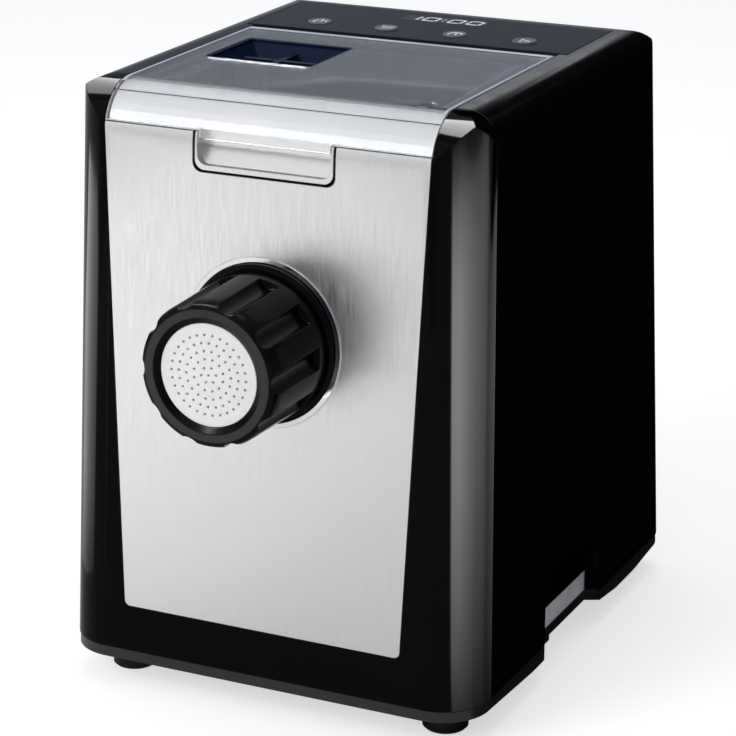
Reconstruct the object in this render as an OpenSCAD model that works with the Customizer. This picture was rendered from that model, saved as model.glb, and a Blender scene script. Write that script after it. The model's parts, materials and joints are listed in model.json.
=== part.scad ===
// Electric pasta maker: a free-standing kitchen appliance with a clear hinged lid over
// a mixing chamber, a steel front panel and a screw-on ring nut that holds the pasta disc.
// Millimetres. X is the width, +Y points to the back, Z is up from the surface.
// The origin is the centre of the footprint of the whole machine, on the surface.

/* [Body] */
// Width of the body at its top
body_w = 215; // [200:1:240]
// Depth of the body at its top
body_d = 246; // [236:1:270]
// Height of the top above the surface
body_h = 310; // [300:1:330]
// Height of the lower edge of the shell
shell_low = 21.3; // [19:0.1:24]
// Lean of the front face, degrees
front_draft = 2.61; // [1.5:0.01:3]
// Lean of the rear face, degrees
rear_draft = 3.14; // [1.5:0.01:4]
// Lean of the sides, degrees
side_draft = 1.3; // [0.5:0.01:2]
// Radius of the upright front corners
front_corner_r = 25.5; // [18:0.5:28]
// Radius of the upright rear corners
rear_corner_r = 14.5; // [10:0.5:20]
// Radius along the front edge of the top
front_top_r = 25; // [20:0.5:28]
// Radius along the rear edge of the top
rear_top_r = 23.5; // [15:0.5:28]
// Radius along the side edges of the top
side_top_r = 14.7; // [10:0.1:17]
// Thickness of the moulded walls
wall = 3; // [2.4:0.1:4]
// Height of the seam between the pieces of the shell
seam = 0.3; // [0.2:0.05:0.6]

/* [Front] */
// Depth of the front bezel round the corners
bezel_depth = 26; // [26:0.5:34]
// Thickness of the bezel's front plate
bezel_plate = 5; // [4:0.5:7]
// Thickness of the steel panel
panel_t = 1.5; // [1:0.1:2]
// Width of the steel panel at its bottom
panel_low_w = 152; // [120:1:160]
// Height of the lower edge of the steel panel
panel_low_z = 45.5; // [35:0.5:70]
// Gap round the steel panel
panel_gap = 0.4; // [0.2:0.1:0.8]
// Corner radius of the steel panel
panel_corner_r = 3; // [1:0.5:8]
// Width of the finger scoop
scoop_w = 73; // [60:1:90]
// Distance of the finger scoop's lower edge below the top
scoop_drop = 36; // [30:0.5:42]
// Depth of the finger scoop
scoop_depth = 9; // [6:0.5:10]
// Wall of the finger scoop
scoop_t = 1.2; // [0.8:0.1:2]
// Corner radius of the finger scoop
scoop_r = 5; // [2:0.5:7]
// Width of the groove round the finger scoop
scoop_groove = 1.3; // [0.6:0.1:2]
// Thickness of the strip behind the lid's lip
strip_t = 1.2; // [0.8:0.1:1.5]
// Radial width of the polished ring round the nozzle
trim_w = 2.6; // [1.5:0.1:4]
// How far the polished ring stands on the panel
trim_t = 0.8; // [0.5:0.1:1.5]

/* [Lid] */
// Width of the lid
lid_w = 172; // [150:1:172]
// Depth of the lid from the front face of the top
lid_len = 155.3; // [148:0.1:158]
// Thickness of the lid
lid_t = 3; // [2:0.1:4]
// Distance of the lip's lower edge below the top
lip_drop = 17.5; // [14:0.5:22]
// Drop of the finger tab below the lip
tab_drop = 4; // [2:0.5:6]
// Gap round the lid
lid_gap = 0.5; // [0.3:0.1:1]
// Radius of the lid's hinge barrel
hinge_r = 5; // [4:0.1:6]
// Radius of the hinge pins
hinge_pin_r = 2; // [1.5:0.1:2.5]
// Running clearance round pins and shafts
run_gap = 0.05; // [0.02:0.01:0.1]
// Width of the pouring opening
filler_w = 60; // [40:1:70]
// Depth of the pouring opening, front to back
filler_d = 50; // [40:1:60]
// Distance of the pouring opening's middle from the trough's inside
filler_in = 25; // [22:1:32]
// Distance of the pouring opening behind the front face
filler_y = 100.5; // [90:0.5:110]
// Width of the throat of the funnel
throat_w = 32; // [24:1:36]
// Depth of the funnel
funnel_h = 9; // [6:0.5:10]

/* [Controls] */
// Width of the control fascia
fascia_w = 180; // [160:1:182]
// Depth of the control fascia
fascia_d = 64; // [55:0.5:66]
// Thickness of the control fascia
fascia_t = 2.5; // [2:0.1:3]
// Radius of the buttons
button_r = 6.5; // [5:0.1:8]
// Spacing of the buttons
button_pitch = 39; // [30:1:44]
// Distance of the buttons behind the front edge of the fascia
button_y = 21; // [16:0.5:26]
// How far the buttons stand above the fascia
button_proud = 0.6; // [0.3:0.1:1.2]
// Travel of the buttons
button_travel = 1.2; // [0.8:0.1:1.3]
// Gap round the buttons
button_gap = 0.3; // [0.2:0.05:0.5]
// Width of the display window
display_w = 47; // [40:1:60]
// Depth of the display window
display_d = 11; // [9:0.5:14]
// Distance of the display behind the front edge of the fascia
display_y = 51.5; // [48:0.5:53]

/* [Mixing chamber] */
// Distance of the trough's inside from the edge of the lid
chamber_in = 18; // [17:1:26]
// Wall of the chamber
chamber_t = 2.6; // [2:0.1:3.5]
// Distance of the chamber's inside behind the front face
chamber_y = 19; // [19:0.5:22]
// Gap between the paddle and the trough
paddle_gap = 3; // [2:0.5:5]
// Radius of the paddle's hub
hub_r = 13; // [11:0.5:16]
// Width of the flats of the drive shaft
hex_w = 12; // [10:0.5:14]

/* [Extruder] */
// Height of the nozzle's axis, in a body 310 high
nozzle_at = 193; // [190:0.5:196]
// Reach of the ring nut in front of the panel
nut_reach = 55; // [50:0.5:62]
// Outer radius of the ring nut
nut_r = 35.5; // [34:0.5:38]
// Number of grips round the ring nut
nut_lobes = 10; // [8:1:14]
// Radius of the grooves between the grips
groove_r = 6.5; // [5:0.5:8]
// Depth of the grooves between the grips
groove_d = 2.5; // [1.5:0.5:3.5]
// Outer radius of the barrel
barrel_r = 28.5; // [27:0.1:28.6]
// Wall of the barrel
barrel_t = 5; // [4:0.1:5.5]
// Clearance between the barrel and what goes round it
barrel_gap = 0.5; // [0.3:0.1:0.8]
// Radius of the fixed collar behind the nut
collar_r = 39.5; // [37:0.5:42]
// How far the collar stands in front of the panel
collar_reach = 3.2; // [3:0.1:4]
// Radius of the pasta disc's shoulder
disc_r = 29; // [28.5:0.5:30]
// Thickness of the pasta disc's shoulder
disc_t = 5; // [4:0.5:7]
// Radius of the part of the disc that shows
disc_view_r = 25; // [23:0.5:26]
// Thickness of the part of the disc that shows
disc_boss = 2.2; // [1.5:0.1:3]
// Radius of the holes in the disc
disc_hole_r = 0.7; // [0.5:0.05:1]
// Spacing of the rings of holes
disc_ring = 3.9; // [3.6:0.1:4.2]
// Radius of the extruder screw
screw_r = 22.6; // [20:0.1:22.9]
// Pitch of the extruder screw
screw_pitch = 26; // [20:1:32]
// Radius of the core of the extruder screw
screw_core = 12; // [10:0.5:14]

/* [Drive] */
// Module of the fast gear pair against that of the slow one
fast_share = 0.6; // [0.56:0.01:0.6]
// Teeth of the motor pinion
motor_teeth = 12; // [12:1:12]
// Teeth of the idler gear
idler_teeth = 48; // [48:1:48]
// Teeth of the idler pinion
idler_pinion_teeth = 12; // [12:1:12]
// Teeth of the output gear
output_teeth = 54; // [54:1:54]
// Play between meshing teeth, measured along the pitch circle
gear_play = 0.24; // [0.15:0.01:0.4]
// Width of the fast gears
fast_w = 7; // [5:0.5:8]
// Width of the slow gears
slow_w = 11; // [8:0.5:12]
// Thickness of the gearbox plates
gearbox_t = 4; // [3:0.5:5]
// Radius of the motor
motor_r = 34; // [28:0.5:35]
// Height of the motor above the tray
motor_up = 8; // [7:0.5:12]
// Length of the motor
motor_len = 104; // [90:1:112]
// Radius of the motor shaft
motor_shaft_r = 4; // [3:0.5:4.5]
// Radius of the output shaft
output_shaft_r = 8; // [7:0.5:9]

/* [Base] */
// Radius of the feet
foot_r = 11.5; // [9:0.5:14]
// Height of the feet
foot_h = 15.5; // [12:0.5:16]
// Distance of the feet from the middle
foot_x = 88; // [75:1:90]
// Distance of the front feet behind the foot of the front face
foot_front = 30.5; // [26:0.5:40]
// Distance of the rear feet in front of the foot of the rear face
foot_rear = 48.5; // [40:0.5:60]
// Inset of the base pan from the shell
pan_inset = 0.6; // [0.4:0.1:1.5]
// How far the pan bows down beside the grips
swell = 3; // [1:0.5:4]
// Width of the pan's rim
pan_rim = 12; // [11:0.5:16]
// Inset of the tray from the shell
tray_inset = 8; // [7.8:0.1:9]
// Height of the tray's rim
tray_h = 11.5; // [8:0.5:13]
// Thickness of the tray and the pan
tray_t = 2.5; // [2:0.1:3]
// Distance of the carrying grips behind the foot of the front face
grip_y = 81; // [76:1:90]
// Length of the carrying grips
grip_len = 95; // [85:1:100]
// Height of the carrying grips
grip_h = 36; // [34:1:40]
// Depth of the carrying grips
grip_depth = 7.5; // [6:0.1:7.6]
// Depth of the cups behind the carrying grips
cup_depth = 13; // [8:0.5:14]
// Wall of the grip liners
liner_t = 2; // [1.5:0.1:2.5]

/* [Rear] */
// Width of the power board
board_w = 44; // [42:1:46]
// Length of the power board
board_len = 96; // [92:1:100]
// Number of air slots
vent_count = 9; // [4:1:12]
// Width of the air slots
vent_w = 90; // [50:1:110]
// Height of an air slot
vent_h = 3; // [2:0.5:3.5]
// Spacing of the air slots
vent_pitch = 8; // [6:0.5:9]
// Height of the lowest air slot
vent_z = 120; // [90:1:130]
// Distance of the mains inlet from the middle
inlet_x = 62; // [50:1:70]
// Height of the mains inlet
inlet_z = 52; // [45:1:60]
// Width of the mains inlet
inlet_w = 31; // [30:0.5:34]
// Height of the mains inlet's face
inlet_h = 24; // [23:0.5:26]

/* [Hidden] */
$fn = 64;
eps = 0.01;
ARC = 10;                       // strips in a rounded edge
far = 500;                      // reach of a cutting shape

// Seen from the side, the middle of the top stands behind the origin, because the nut
// reaches out in front of the body.
axis_z = body_h * nozzle_at / 310;
front_tan = tan(front_draft);
rear_tan = tan(rear_draft);
side_tan = tan(side_draft);
nut_lean = front_tan * (body_h - axis_z);
body_y = (nut_lean + nut_reach - rear_tan * (body_h - shell_low)) / 2;
top_front = body_y - body_d / 2;
top_rear = body_y + body_d / 2;

function front_y(z) = top_front - front_tan * (body_h - z);
function rear_y(z) = top_rear + rear_tan * (body_h - z);
function side_x(z) = body_w / 2 + side_tan * (body_h - z);

nozzle_y = front_y(axis_z);              // the front face on the nozzle's axis
nut_front = nozzle_y - nut_reach;
collar_front = nozzle_y - collar_reach;
panel_hole_r = collar_r + panel_gap;

// lid
panel_top_w = lid_w;
lid_lip_z = body_h - lip_drop;
scoop_low_z = body_h - scoop_drop;
lid_rear = top_front + lid_len;
hinge_y = lid_rear - hinge_r;
hinge_z = body_h - hinge_r;
hinge_pin_len = 18;
lid_under = body_h - lid_t;
lid_open_w = lid_w + 2 * lid_gap;
sill_z = body_h - 10;                    // upper face of the ledge under the chamber's flange
sill_t = 3;
flange_t = 3;
seal_h = 3;
rear_sill_z = hinge_z - hinge_r - 1.5;   // floor of the trough under the hinge barrel

// controls
fascia_front = lid_rear + 1;
fascia_z = body_h - fascia_t;
board_z = body_h - 18;
board_t = 1.6;
switch_h = 4.2;
button_low = fascia_z - 0.3;             // upper face of the button's retaining rim
button_rim_t = 1.5;
button_rim_r = button_r + 2;
button_stem_r = 2;
stem_rest_gap = 1.5;                     // stem to switch with the button up
window_t = 1.2;

// chamber
chamber_r = lid_w / 2 - chamber_in;
filler_x = chamber_r - filler_in;
chamber_front = top_front + chamber_y;
flange_rear = lid_rear - 2 * hinge_r - 1.7;
chamber_rear = flange_rear - chamber_t - 4;
chamber_top = sill_z;
flange_w = lid_w - 8;
flange_front = top_front + 17;
paddle_r = chamber_r - paddle_gap;
paddle_t = 7;
hub_front = chamber_front + 20;
hub_rear = chamber_rear - 6;

// extruder
barrel_front = nut_front + disc_boss + disc_t + 2.2;
lip_t = disc_boss + 2 - 0.2;             // front lip of the nut, 0.2 clear of the shoulder
barrel_flange_r = barrel_r + 6;
barrel_flange_t = 3;
oring_t = 1.4;
barrel_rear = chamber_front - chamber_t - oring_t;
nut_rear = collar_front - 0.5;
nut_bore_r = disc_r + 0.3;
screw_front = barrel_front + 1.3;
screw_rear = hub_front - 0.3;
hex_r = hex_w / 2 / cos(30);

// drive
tray_floor = shell_low - seam + tray_t;
motor_z = tray_floor + motor_r + motor_up;
slow_m = 2 * (axis_z - motor_z)
    / (output_teeth + idler_pinion_teeth + fast_share * (idler_teeth + motor_teeth));
fast_m = fast_share * slow_m;
idler_z = axis_z - (output_teeth + idler_pinion_teeth) * slow_m / 2;
plate_y = chamber_rear + chamber_t + 8.5;
slow_y = plate_y + gearbox_t + 3;
fast_y = slow_y + slow_w + 3;
cover_y = fast_y + fast_w + 3;
idler_shaft_r = 4;
bushing_r = output_shaft_r + 4;
bushing_rim = 2;
box_wall = 3;
box_r = output_teeth * slow_m / 2 + slow_m + 4;
box_flange = 7;
box_screw_r = box_r + 3.4;
box_idler_r = idler_teeth * fast_m / 2 + fast_m + 5;
motor_rear = plate_y;
motor_front = motor_rear - motor_len;
motor_wall = 2.5;
bearing_r = 11;
bearing_w = 7;
magnet_x = lid_w / 2 - 16;
magnet_y = top_front + 30;
armature_r = motor_r - 8;
magnet_in = motor_len / 4;               // from the motor's ends to its magnets

// base
pan_top = shell_low - seam;
pan_floor = foot_h + tray_t;
tray_top = pan_top + tray_h;
foot_y = [front_y(shell_low) + foot_front, rear_y(shell_low) - foot_rear];
grip_front = front_y(shell_low) + grip_y;
grip_rear = grip_front + grip_len;
grip_top = shell_low + grip_h;
grip_face = side_x(shell_low) - grip_depth;
base_screw_x = side_x(shell_low) - 4.7;
base_screw_y = [front_y(shell_low) + 55, grip_rear + 30];

// ---------------------------------------------------------------- helpers

// The points of a round corner at b, between the neighbours a and c.
function fillet(a, b, c, r) =
    let (
        u = (a - b) / norm(a - b),
        v = (c - b) / norm(c - b),
        half = acos(u * v) / 2,
        mid = b + (u + v) / norm(u + v) * r / sin(half),
        p = b + u * r / tan(half) - mid,
        q = b + v * r / tan(half) - mid,
        from = atan2(p.y, p.x),
        turn = (atan2(q.y, q.x) - from + 540) % 360 - 180
    )
    [for (i = [0 : ARC]) mid + r * [cos(from + turn * i / ARC), sin(from + turn * i / ARC)]];

// An outline whose corners are rounded by the radii given, 0 for a sharp corner.
function rounded(points, radii) =
    let (n = len(points))
    [for (i = [0 : n - 1])
        each radii[i] > 0
            ? fillet(points[(i + n - 1) % n], points[i], points[(i + 1) % n], radii[i])
            : [points[i]]];

function box_outline(w, h, r) =
    rounded([[-w / 2, -h / 2], [w / 2, -h / 2], [w / 2, h / 2], [-w / 2, h / 2]],
        [r, r, r, r]);

// Extrudes an outline drawn as [y, z] along X.
module along_x(points, x0, x1) {
    translate([x0, 0, 0])
        rotate([90, 0, 90])
            linear_extrude(x1 - x0)
                polygon(points);
}

// Extrudes an outline drawn as [x, z] along Y.
module along_y(points, y0, y1) {
    translate([0, y1, 0])
        rotate([90, 0, 0])
            linear_extrude(y1 - y0)
                polygon(points);
}

// A cylinder along Y from y0 to y1 at height z.
module rod_y(r, y0, y1, z = axis_z, x = 0, sides = $fn) {
    translate([x, y1, z])
        rotate([90, 0, 0])
            cylinder(r = r, h = y1 - y0, $fn = sides);
}

module block(x, y, z) {
    translate([x[0], y[0], z[0]])
        cube([x[1] - x[0], y[1] - y[0], z[1] - z[0]]);
}

// Stands its children on the leaning front face at height z, +Z pointing out of the face.
module on_front(z) {
    translate([0, front_y(z), z])
        rotate([90 - front_draft, 0, 0])
            children();
}

// The same on the rear face.
module on_rear(z) {
    translate([0, rear_y(z), z])
        rotate([-90 + rear_draft, 0, 0])
            children();
}

// Everything further forward than a plane that lies `behind` the front face.
module ahead_of(behind) {
    along_x([
        [front_y(-20) + behind, -20],
        [front_y(body_h + 20) + behind, body_h + 20],
        [top_front - far, body_h + 20],
        [top_front - far, -20]
    ], -far, far);
}

// Takes an upright corner of the body off to its radius.
module corner_cut(sx, sy, r, inset) {
    lean = sy < 0 ? front_tan : rear_tan;
    edge_y = sy < 0 ? front_y(shell_low) + inset : rear_y(shell_low) - inset;
    way = [-sx * side_tan, -sy * lean, 1] / norm([side_tan, lean, 1]);
    translate([sx * (side_x(shell_low) - inset), edge_y, shell_low])
        rotate([-asin(way.y), atan2(way.x, way.z), 0])
            translate([0, 0, -60])
                linear_extrude(body_h + 80)
                    polygon(concat(
                        [for (i = [0 : ARC])
                            [sx * r * (cos(90 * i / ARC) - 1), sy * r * (sin(90 * i / ARC) - 1)]],
                        [[-sx * r, sy * 9], [sx * 9, sy * 9], [sx * 9, -sy * r]]
                    ));
}

// The leaning, rounded form of the body, drawn in by `inset`, standing on `low`.
module body_form(inset, low) {
    top = body_h - inset;
    difference() {
        intersection() {
            along_x(rounded([
                [front_y(low) + inset, low],
                [front_y(top) + inset, top],
                [rear_y(top) - inset, top],
                [rear_y(low) - inset, low]
            ], [0, front_top_r - inset, rear_top_r - inset, 0]), -far, far);
            along_y(rounded([
                [-side_x(low) + inset, low],
                [-side_x(top) + inset, top],
                [side_x(top) - inset, top],
                [side_x(low) - inset, low]
            ], [0, side_top_r - inset, side_top_r - inset, 0]), -far, far);
        }
        for (sx = [-1, 1]) {
            corner_cut(sx, -1, front_corner_r - inset, inset);
            corner_cut(sx, 1, rear_corner_r - inset, inset);
        }
    }
}

// A layer of the body form without its round top, for the base pieces.
module body_slice(inset, z0, z1) {
    front_r = max(front_corner_r - inset, 3);
    rear_r = max(rear_corner_r - inset, 3);
    w = side_x(shell_low) - inset;
    translate([0, 0, z0])
        linear_extrude(z1 - z0)
            polygon(rounded([
                [-w, front_y(shell_low) + inset],
                [w, front_y(shell_low) + inset],
                [w, rear_y(shell_low) - inset],
                [-w, rear_y(shell_low) - inset]
            ], [front_r, front_r, rear_r, rear_r]));
}

// The hollow of the shell, open at the bottom.
module shell_hollow() {
    body_form(wall, shell_low - 1);
}

// The grip recess in one side, grown by `grow` all round.
module grip_form(grow) {
    low = foot_h - 5;
    intersection() {
        along_x(rounded([
            [grip_front - grow, low],
            [grip_front - grow, foot_h + 14.5],
            [grip_front + 8.4 - grow, grip_top + grow],
            [grip_rear - 7 + grow, grip_top + grow],
            [grip_rear + grow, low]
        ], [0, 0, 8 + grow, 6 + grow, 0]), 60, side_x(0) + 20);
        translate([0, 0, low - 1])
            linear_extrude(grip_h + 30)
                polygon([
                    [grip_face - grow, grip_front + 33 - grow],
                    [grip_face - grow, grip_rear - 5 + grow],
                    [side_x(0) + 9, grip_rear + 6 + grow],
                    [side_x(0) + 9, grip_front - 8 - grow]
                ]);
    }
}

// The cup that the fingers curl into, behind a grip recess.
module grip_cup(grow) {
    block([grip_face - cup_depth - grow, grip_face + 1],
        [grip_front + 36 - grow, grip_rear - 10 + grow],
        [tray_top + 3.5 - grow, grip_top - 4 + grow]);
}

module both_sides() {
    children();
    mirror([1, 0, 0])
        children();
}

// The steel panel's outline on the leaning front face, grown by `grow`.
module panel_outline(grow) {
    tall = (lid_lip_z - lid_gap - panel_low_z) / cos(front_draft);
    polygon(rounded([
        [-panel_low_w / 2 - grow, -grow],
        [panel_low_w / 2 + grow, -grow],
        [panel_top_w / 2 + grow, tall + grow],
        [-panel_top_w / 2 - grow, tall + grow]
    ], [panel_corner_r, panel_corner_r, 0, 0]));
}

// The scoop's outline on the front face, open at the top.
module scoop_outline(grow, tall) {
    polygon(rounded([
        [-scoop_w / 2 - grow, -grow],
        [scoop_w / 2 + grow, -grow],
        [scoop_w / 2 + grow, tall],
        [-scoop_w / 2 - grow, tall]
    ], [scoop_r, scoop_r, 0, 0]));
}

scoop_tall = (lid_lip_z - lid_gap - scoop_low_z) / cos(front_draft);

// Involute tooth: half its angle at radius r, for pitch radius pr and base radius br.
function roll(a) = tan(a) * 180 / PI - a;
function tooth_half(r, pr, br, n) =
    90 / n - gear_play / 2 / pr * 90 / PI + roll(20)
    - (r > br ? roll(acos(br / r)) : 0);

// A spur gear along Y from y0, with a tooth or a gap at the angle `at`.
module spur(n, m, width, y0, z, at, gap = false) {
    pr = n * m / 2;
    br = pr * cos(20);
    foot = pr - 1.05 * m;
    tip = pr + 0.8 * m;
    radii = foot < br ? [foot, br, pr, tip] : [foot, pr, tip];
    start = at + (gap ? 180 / n : 0);
    rising = [for (r = radii) [r, -tooth_half(r, pr, br, n)]];
    falling = [for (i = [len(radii) - 1 : -1 : 0]) [radii[i], tooth_half(radii[i], pr, br, n)]];
    flank = concat(rising, falling);
    translate([0, 0, z])
        along_y([for (k = [0 : n - 1]) for (p = flank)
            p[0] * [cos(start + k * 360 / n + p[1]), sin(start + k * 360 / n + p[1])]],
            y0, y0 + width);
}

// ---------------------------------------------------------------- shell

module housing() {
    color("#101114")
    difference() {
        union() {
            difference() {
                body_form(0, shell_low);
                shell_hollow();
                ahead_of(bezel_depth + seam);
                // opening for the lid
                block([-lid_open_w / 2, lid_open_w / 2], [top_front - 1, lid_rear + 1],
                    [lid_under - 3, body_h + 1]);
                // room under the fascia for the buttons and the board
                block([-fascia_w / 2 + 5, fascia_w / 2 - 5],
                    [fascia_front + wall, fascia_front + fascia_d - 4],
                    [fascia_z - wall, body_h]);
                // air slots
                for (i = [0 : vent_count - 1])
                    block([-vent_w / 2, vent_w / 2],
                        [rear_y(vent_z) - 20, rear_y(0) + 5],
                        [vent_z + i * vent_pitch, vent_z + i * vent_pitch + vent_h]);
                // mains inlet
                on_rear(inlet_z)
                    translate([inlet_x, 0, -wall - 2])
                        linear_extrude(wall + 4)
                            polygon(box_outline(inlet_w - 3, inlet_h - 3, 3));
                both_sides()
                    grip_form(0);
            }
            side_sills();
            rear_sill();
            base_bosses();
        }
        // pocket for the control fascia
        block([-fascia_w / 2 - lid_gap, fascia_w / 2 + lid_gap],
            [lid_rear, fascia_front + fascia_d + lid_gap], [fascia_z, body_h + 1]);
        // bores for the hinge pins
        both_sides()
            translate([lid_w / 2 - 2, hinge_y, hinge_z])
                rotate([0, 90, 0])
                    cylinder(r = hinge_pin_r, h = 12);
        // bores for the base screws
        for (sx = [-1, 1])
            for (y = base_screw_y)
                translate([sx * base_screw_x, y, shell_low - 1])
                    cylinder(r = 1.3, h = 16);
    }
}

// Walls hung from the top plate beside the lid, each with a ledge for the chamber's flange
// and a block for the hinge pin.
module side_sills() {
    y0 = front_y(sill_z) + bezel_depth + 1;
    in_x = lid_open_w / 2;
    both_sides() {
        block([in_x, in_x + wall], [y0, fascia_front + wall], [sill_z - sill_t, lid_under + 1]);
        block([in_x - 7, in_x + wall], [y0, flange_rear + 0.5], [sill_z - sill_t, sill_z]);
        block([in_x + 1, in_x + 8], [hinge_y - hinge_r, fascia_front + wall],
            [sill_z - sill_t, lid_under + 1]);
    }
}

// Trough under the hinge barrel, the wall in front of the fascia and the fascia's seat.
module rear_sill() {
    in_x = lid_open_w / 2;
    y0 = flange_rear + 0.5;
    block([-in_x - 1, in_x + 1], [y0, fascia_front + wall], [rear_sill_z - sill_t, rear_sill_z]);
    block([-in_x - 1, in_x + 1], [fascia_front, fascia_front + wall],
        [rear_sill_z - 1, fascia_z]);
    difference() {
        block([-fascia_w / 2 - 4, fascia_w / 2 + 4], [fascia_front, fascia_front + fascia_d + 4],
            [fascia_z - wall, fascia_z]);
        block([-fascia_w / 2 + 5, fascia_w / 2 - 5],
            [fascia_front + wall, fascia_front + fascia_d - 4], [fascia_z - wall - 1, body_h]);
    }
}

// Bosses on the side walls that the base screws bite in.
module base_bosses() {
    for (sx = [-1, 1])
        for (y = base_screw_y)
            translate([sx * base_screw_x, y, shell_low])
                cylinder(r = 3, h = 18);
}

module front_bezel() {
    color("#0c0c0e")
    difference() {
        intersection() {
            body_form(0, shell_low);
            ahead_of(bezel_depth);
        }
        difference() {
            shell_hollow();
            ahead_of(bezel_plate);
            // shelf behind the lid's lip
            block([-lid_open_w / 2 - 5, lid_open_w / 2 + 5],
                [top_front - 20, chamber_front - chamber_t - 0.3],
                [lid_lip_z - tab_drop - 4, lid_lip_z - tab_drop - 1]);
        }
        // opening for the lid
        block([-lid_open_w / 2, lid_open_w / 2], [front_y(0) - 9, body_y],
            [lid_lip_z - lid_gap, body_h + 9]);
        // pocket for the steel panel
        on_front(panel_low_z)
            translate([0, 0, -panel_t])
                linear_extrude(9)
                    panel_outline(panel_gap);
        // pocket for the finger scoop
        on_front(scoop_low_z)
            translate([0, 0, -scoop_depth - 1])
                linear_extrude(scoop_depth + 9)
                    scoop_outline(0.3, scoop_tall + 9);
        rod_y(panel_hole_r, nozzle_y - 9, nozzle_y + panel_t + 2.2);
        rod_y(barrel_r + barrel_gap, nozzle_y - 9, nozzle_y + bezel_plate + 9);
    }
}

module front_panel() {
    color("#c9c9ca")
    difference() {
        intersection() {
            on_front(panel_low_z)
                translate([0, 0, -panel_t])
                    linear_extrude(panel_t)
                        panel_outline(0);
            body_form(0, shell_low);
        }
        rod_y(panel_hole_r, nozzle_y - 9, nozzle_y + 9);
        on_front(scoop_low_z)
            translate([0, 0, -panel_t - 1])
                linear_extrude(9)
                    scoop_outline(scoop_groove, scoop_tall + 9);
    }
}

// Steel strip that carries the panel's look on behind the lid's clear lip.
module lip_strip() {
    behind = lid_t + 0.8;
    inner = lid_skin(behind + strip_t);
    color("#c9c9ca")
    difference() {
        along_x(concat(lid_skin(behind), [for (i = [len(inner) - 1 : -1 : 0]) inner[i]]),
            -lid_w / 2 + 0.5, lid_w / 2 - 0.5);
        block([-far, far], [-far, body_y], [0, lid_lip_z - lid_gap]);
        block([-scoop_w / 2 - 1, scoop_w / 2 + 1], [-far, body_y],
            [0, lid_lip_z - lid_gap + 0.3]);
        block([-far, far], [chamber_front - chamber_t - 0.5, far], [0, body_h]);
    }
}

// Pressed tray that lets the fingers reach under the lid's tab: shallow at its lower edge
// and deepest behind the tab.
module finger_scoop() {
    color("#bfbfc1")
    difference() {
        intersection() {
            on_front(scoop_low_z)
                translate([0, 0, -scoop_depth])
                    linear_extrude(scoop_depth)
                        scoop_outline(0, scoop_tall);
            body_form(0, shell_low);
        }
        intersection() {
            on_front(scoop_low_z)
                translate([0, scoop_t, -scoop_depth - 1])
                    linear_extrude(scoop_depth + 9)
                        scoop_outline(-scoop_t, scoop_tall + 9);
            along_x([
                [front_y(scoop_low_z) - 9, scoop_low_z - 2],
                [front_y(scoop_low_z) + 0.5, scoop_low_z - 2],
                [front_y(scoop_low_z) + scoop_depth * 0.5, scoop_low_z + 4],
                [front_y(scoop_low_z) + scoop_depth - scoop_t + 0.2, scoop_low_z + 11],
                [front_y(body_h) + scoop_depth - scoop_t - 0.6, body_h],
                [front_y(scoop_low_z) - 9, body_h]
            ], -far, far);
        }
    }
}

// Fixed ring that the nut closes against, seated in the bezel.
module nozzle_collar() {
    color("#17181a")
    translate([0, collar_front, axis_z])
        rotate([-90, 0, 0])
            rotate_extrude()
                polygon([
                    [barrel_r + barrel_gap, 0],
                    [collar_r - 1.5, 0],
                    [collar_r, 1.5],
                    [collar_r, collar_reach + panel_t + 2],
                    [barrel_r + barrel_gap, collar_reach + panel_t + 2]
                ]);
}

module trim_ring() {
    color("silver")
    difference() {
        on_front(axis_z)
            rotate_extrude()
                polygon([
                    [panel_hole_r - 1, 0],
                    [panel_hole_r + trim_w, 0],
                    [panel_hole_r + trim_w - 0.4, trim_t],
                    [panel_hole_r - 1, trim_t]
                ]);
        rod_y(panel_hole_r, nozzle_y - 9, nozzle_y + 9);
    }
}

module foot_holes(r, z0, z1) {
    for (sx = [-1, 1])
        for (y = foot_y)
            translate([sx * foot_x, y, z0])
                cylinder(r = r, h = z1 - z0);
}

// Air slots under the motor, through everything between z0 and z1.
module floor_slots(z0, z1) {
    for (i = [-4 : 4])
        block([i * 9 - 1.5, i * 9 + 1.5], [body_y - 70, body_y - 10], [z0, z1]);
}

// Pan that closes the shell from below, with posts that the foot screws bite in.
module base_pan() {
    color("#2b2c2e")
    difference() {
        union() {
            difference() {
                union() {
                    intersection() {
                        body_form(pan_inset, foot_h);
                        block([-far, far], [-far, far], [foot_h, pan_top]);
                    }
                    pan_swells();
                }
                body_slice(pan_rim, pan_floor, pan_top + 1);
                both_sides()
                    grip_form(0);
            }
            foot_holes(5, pan_floor - 1, pan_top);
        }
        foot_holes(1.8, foot_h - 1, pan_top + 1);
        floor_slots(foot_h - 1, pan_floor + 1);
        for (sx = [-1, 1])
            for (y = base_screw_y)
                translate([sx * base_screw_x, y, foot_h - 1]) {
                    cylinder(r = 1.4, h = 9);
                    cylinder(r = 2.8, h = 3.4);
                }
    }
}

// Lower edges that bow down in front of and behind the grips.
module pan_swells() {
    low = foot_h - swell;
    front = front_y(shell_low) + 26;
    rear = rear_y(shell_low) - 10;
    intersection() {
        body_form(pan_inset, low - 1);
        both_sides()
            for (p = [
                [[front, foot_h + 1], [front, foot_h], [grip_front, low], [grip_front + 40, low],
                    [grip_front + 40, foot_h + 1]],
                [[grip_rear - 6, foot_h + 1], [grip_rear - 6, foot_h], [grip_rear + 24, low],
                    [grip_rear + 52, low], [rear, foot_h], [rear, foot_h + 1]]
            ])
                along_x(p, side_x(shell_low) - pan_rim, far);
    }
}

module inner_tray() {
    color("#b9babd")
    difference() {
        body_slice(tray_inset, pan_top, tray_top);
        body_slice(tray_inset + tray_t, tray_floor, tray_top + 1);
        foot_holes(1.8, pan_top - 1, tray_floor + 1);
        floor_slots(pan_top - 1, tray_floor + 1);
    }
}

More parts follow.
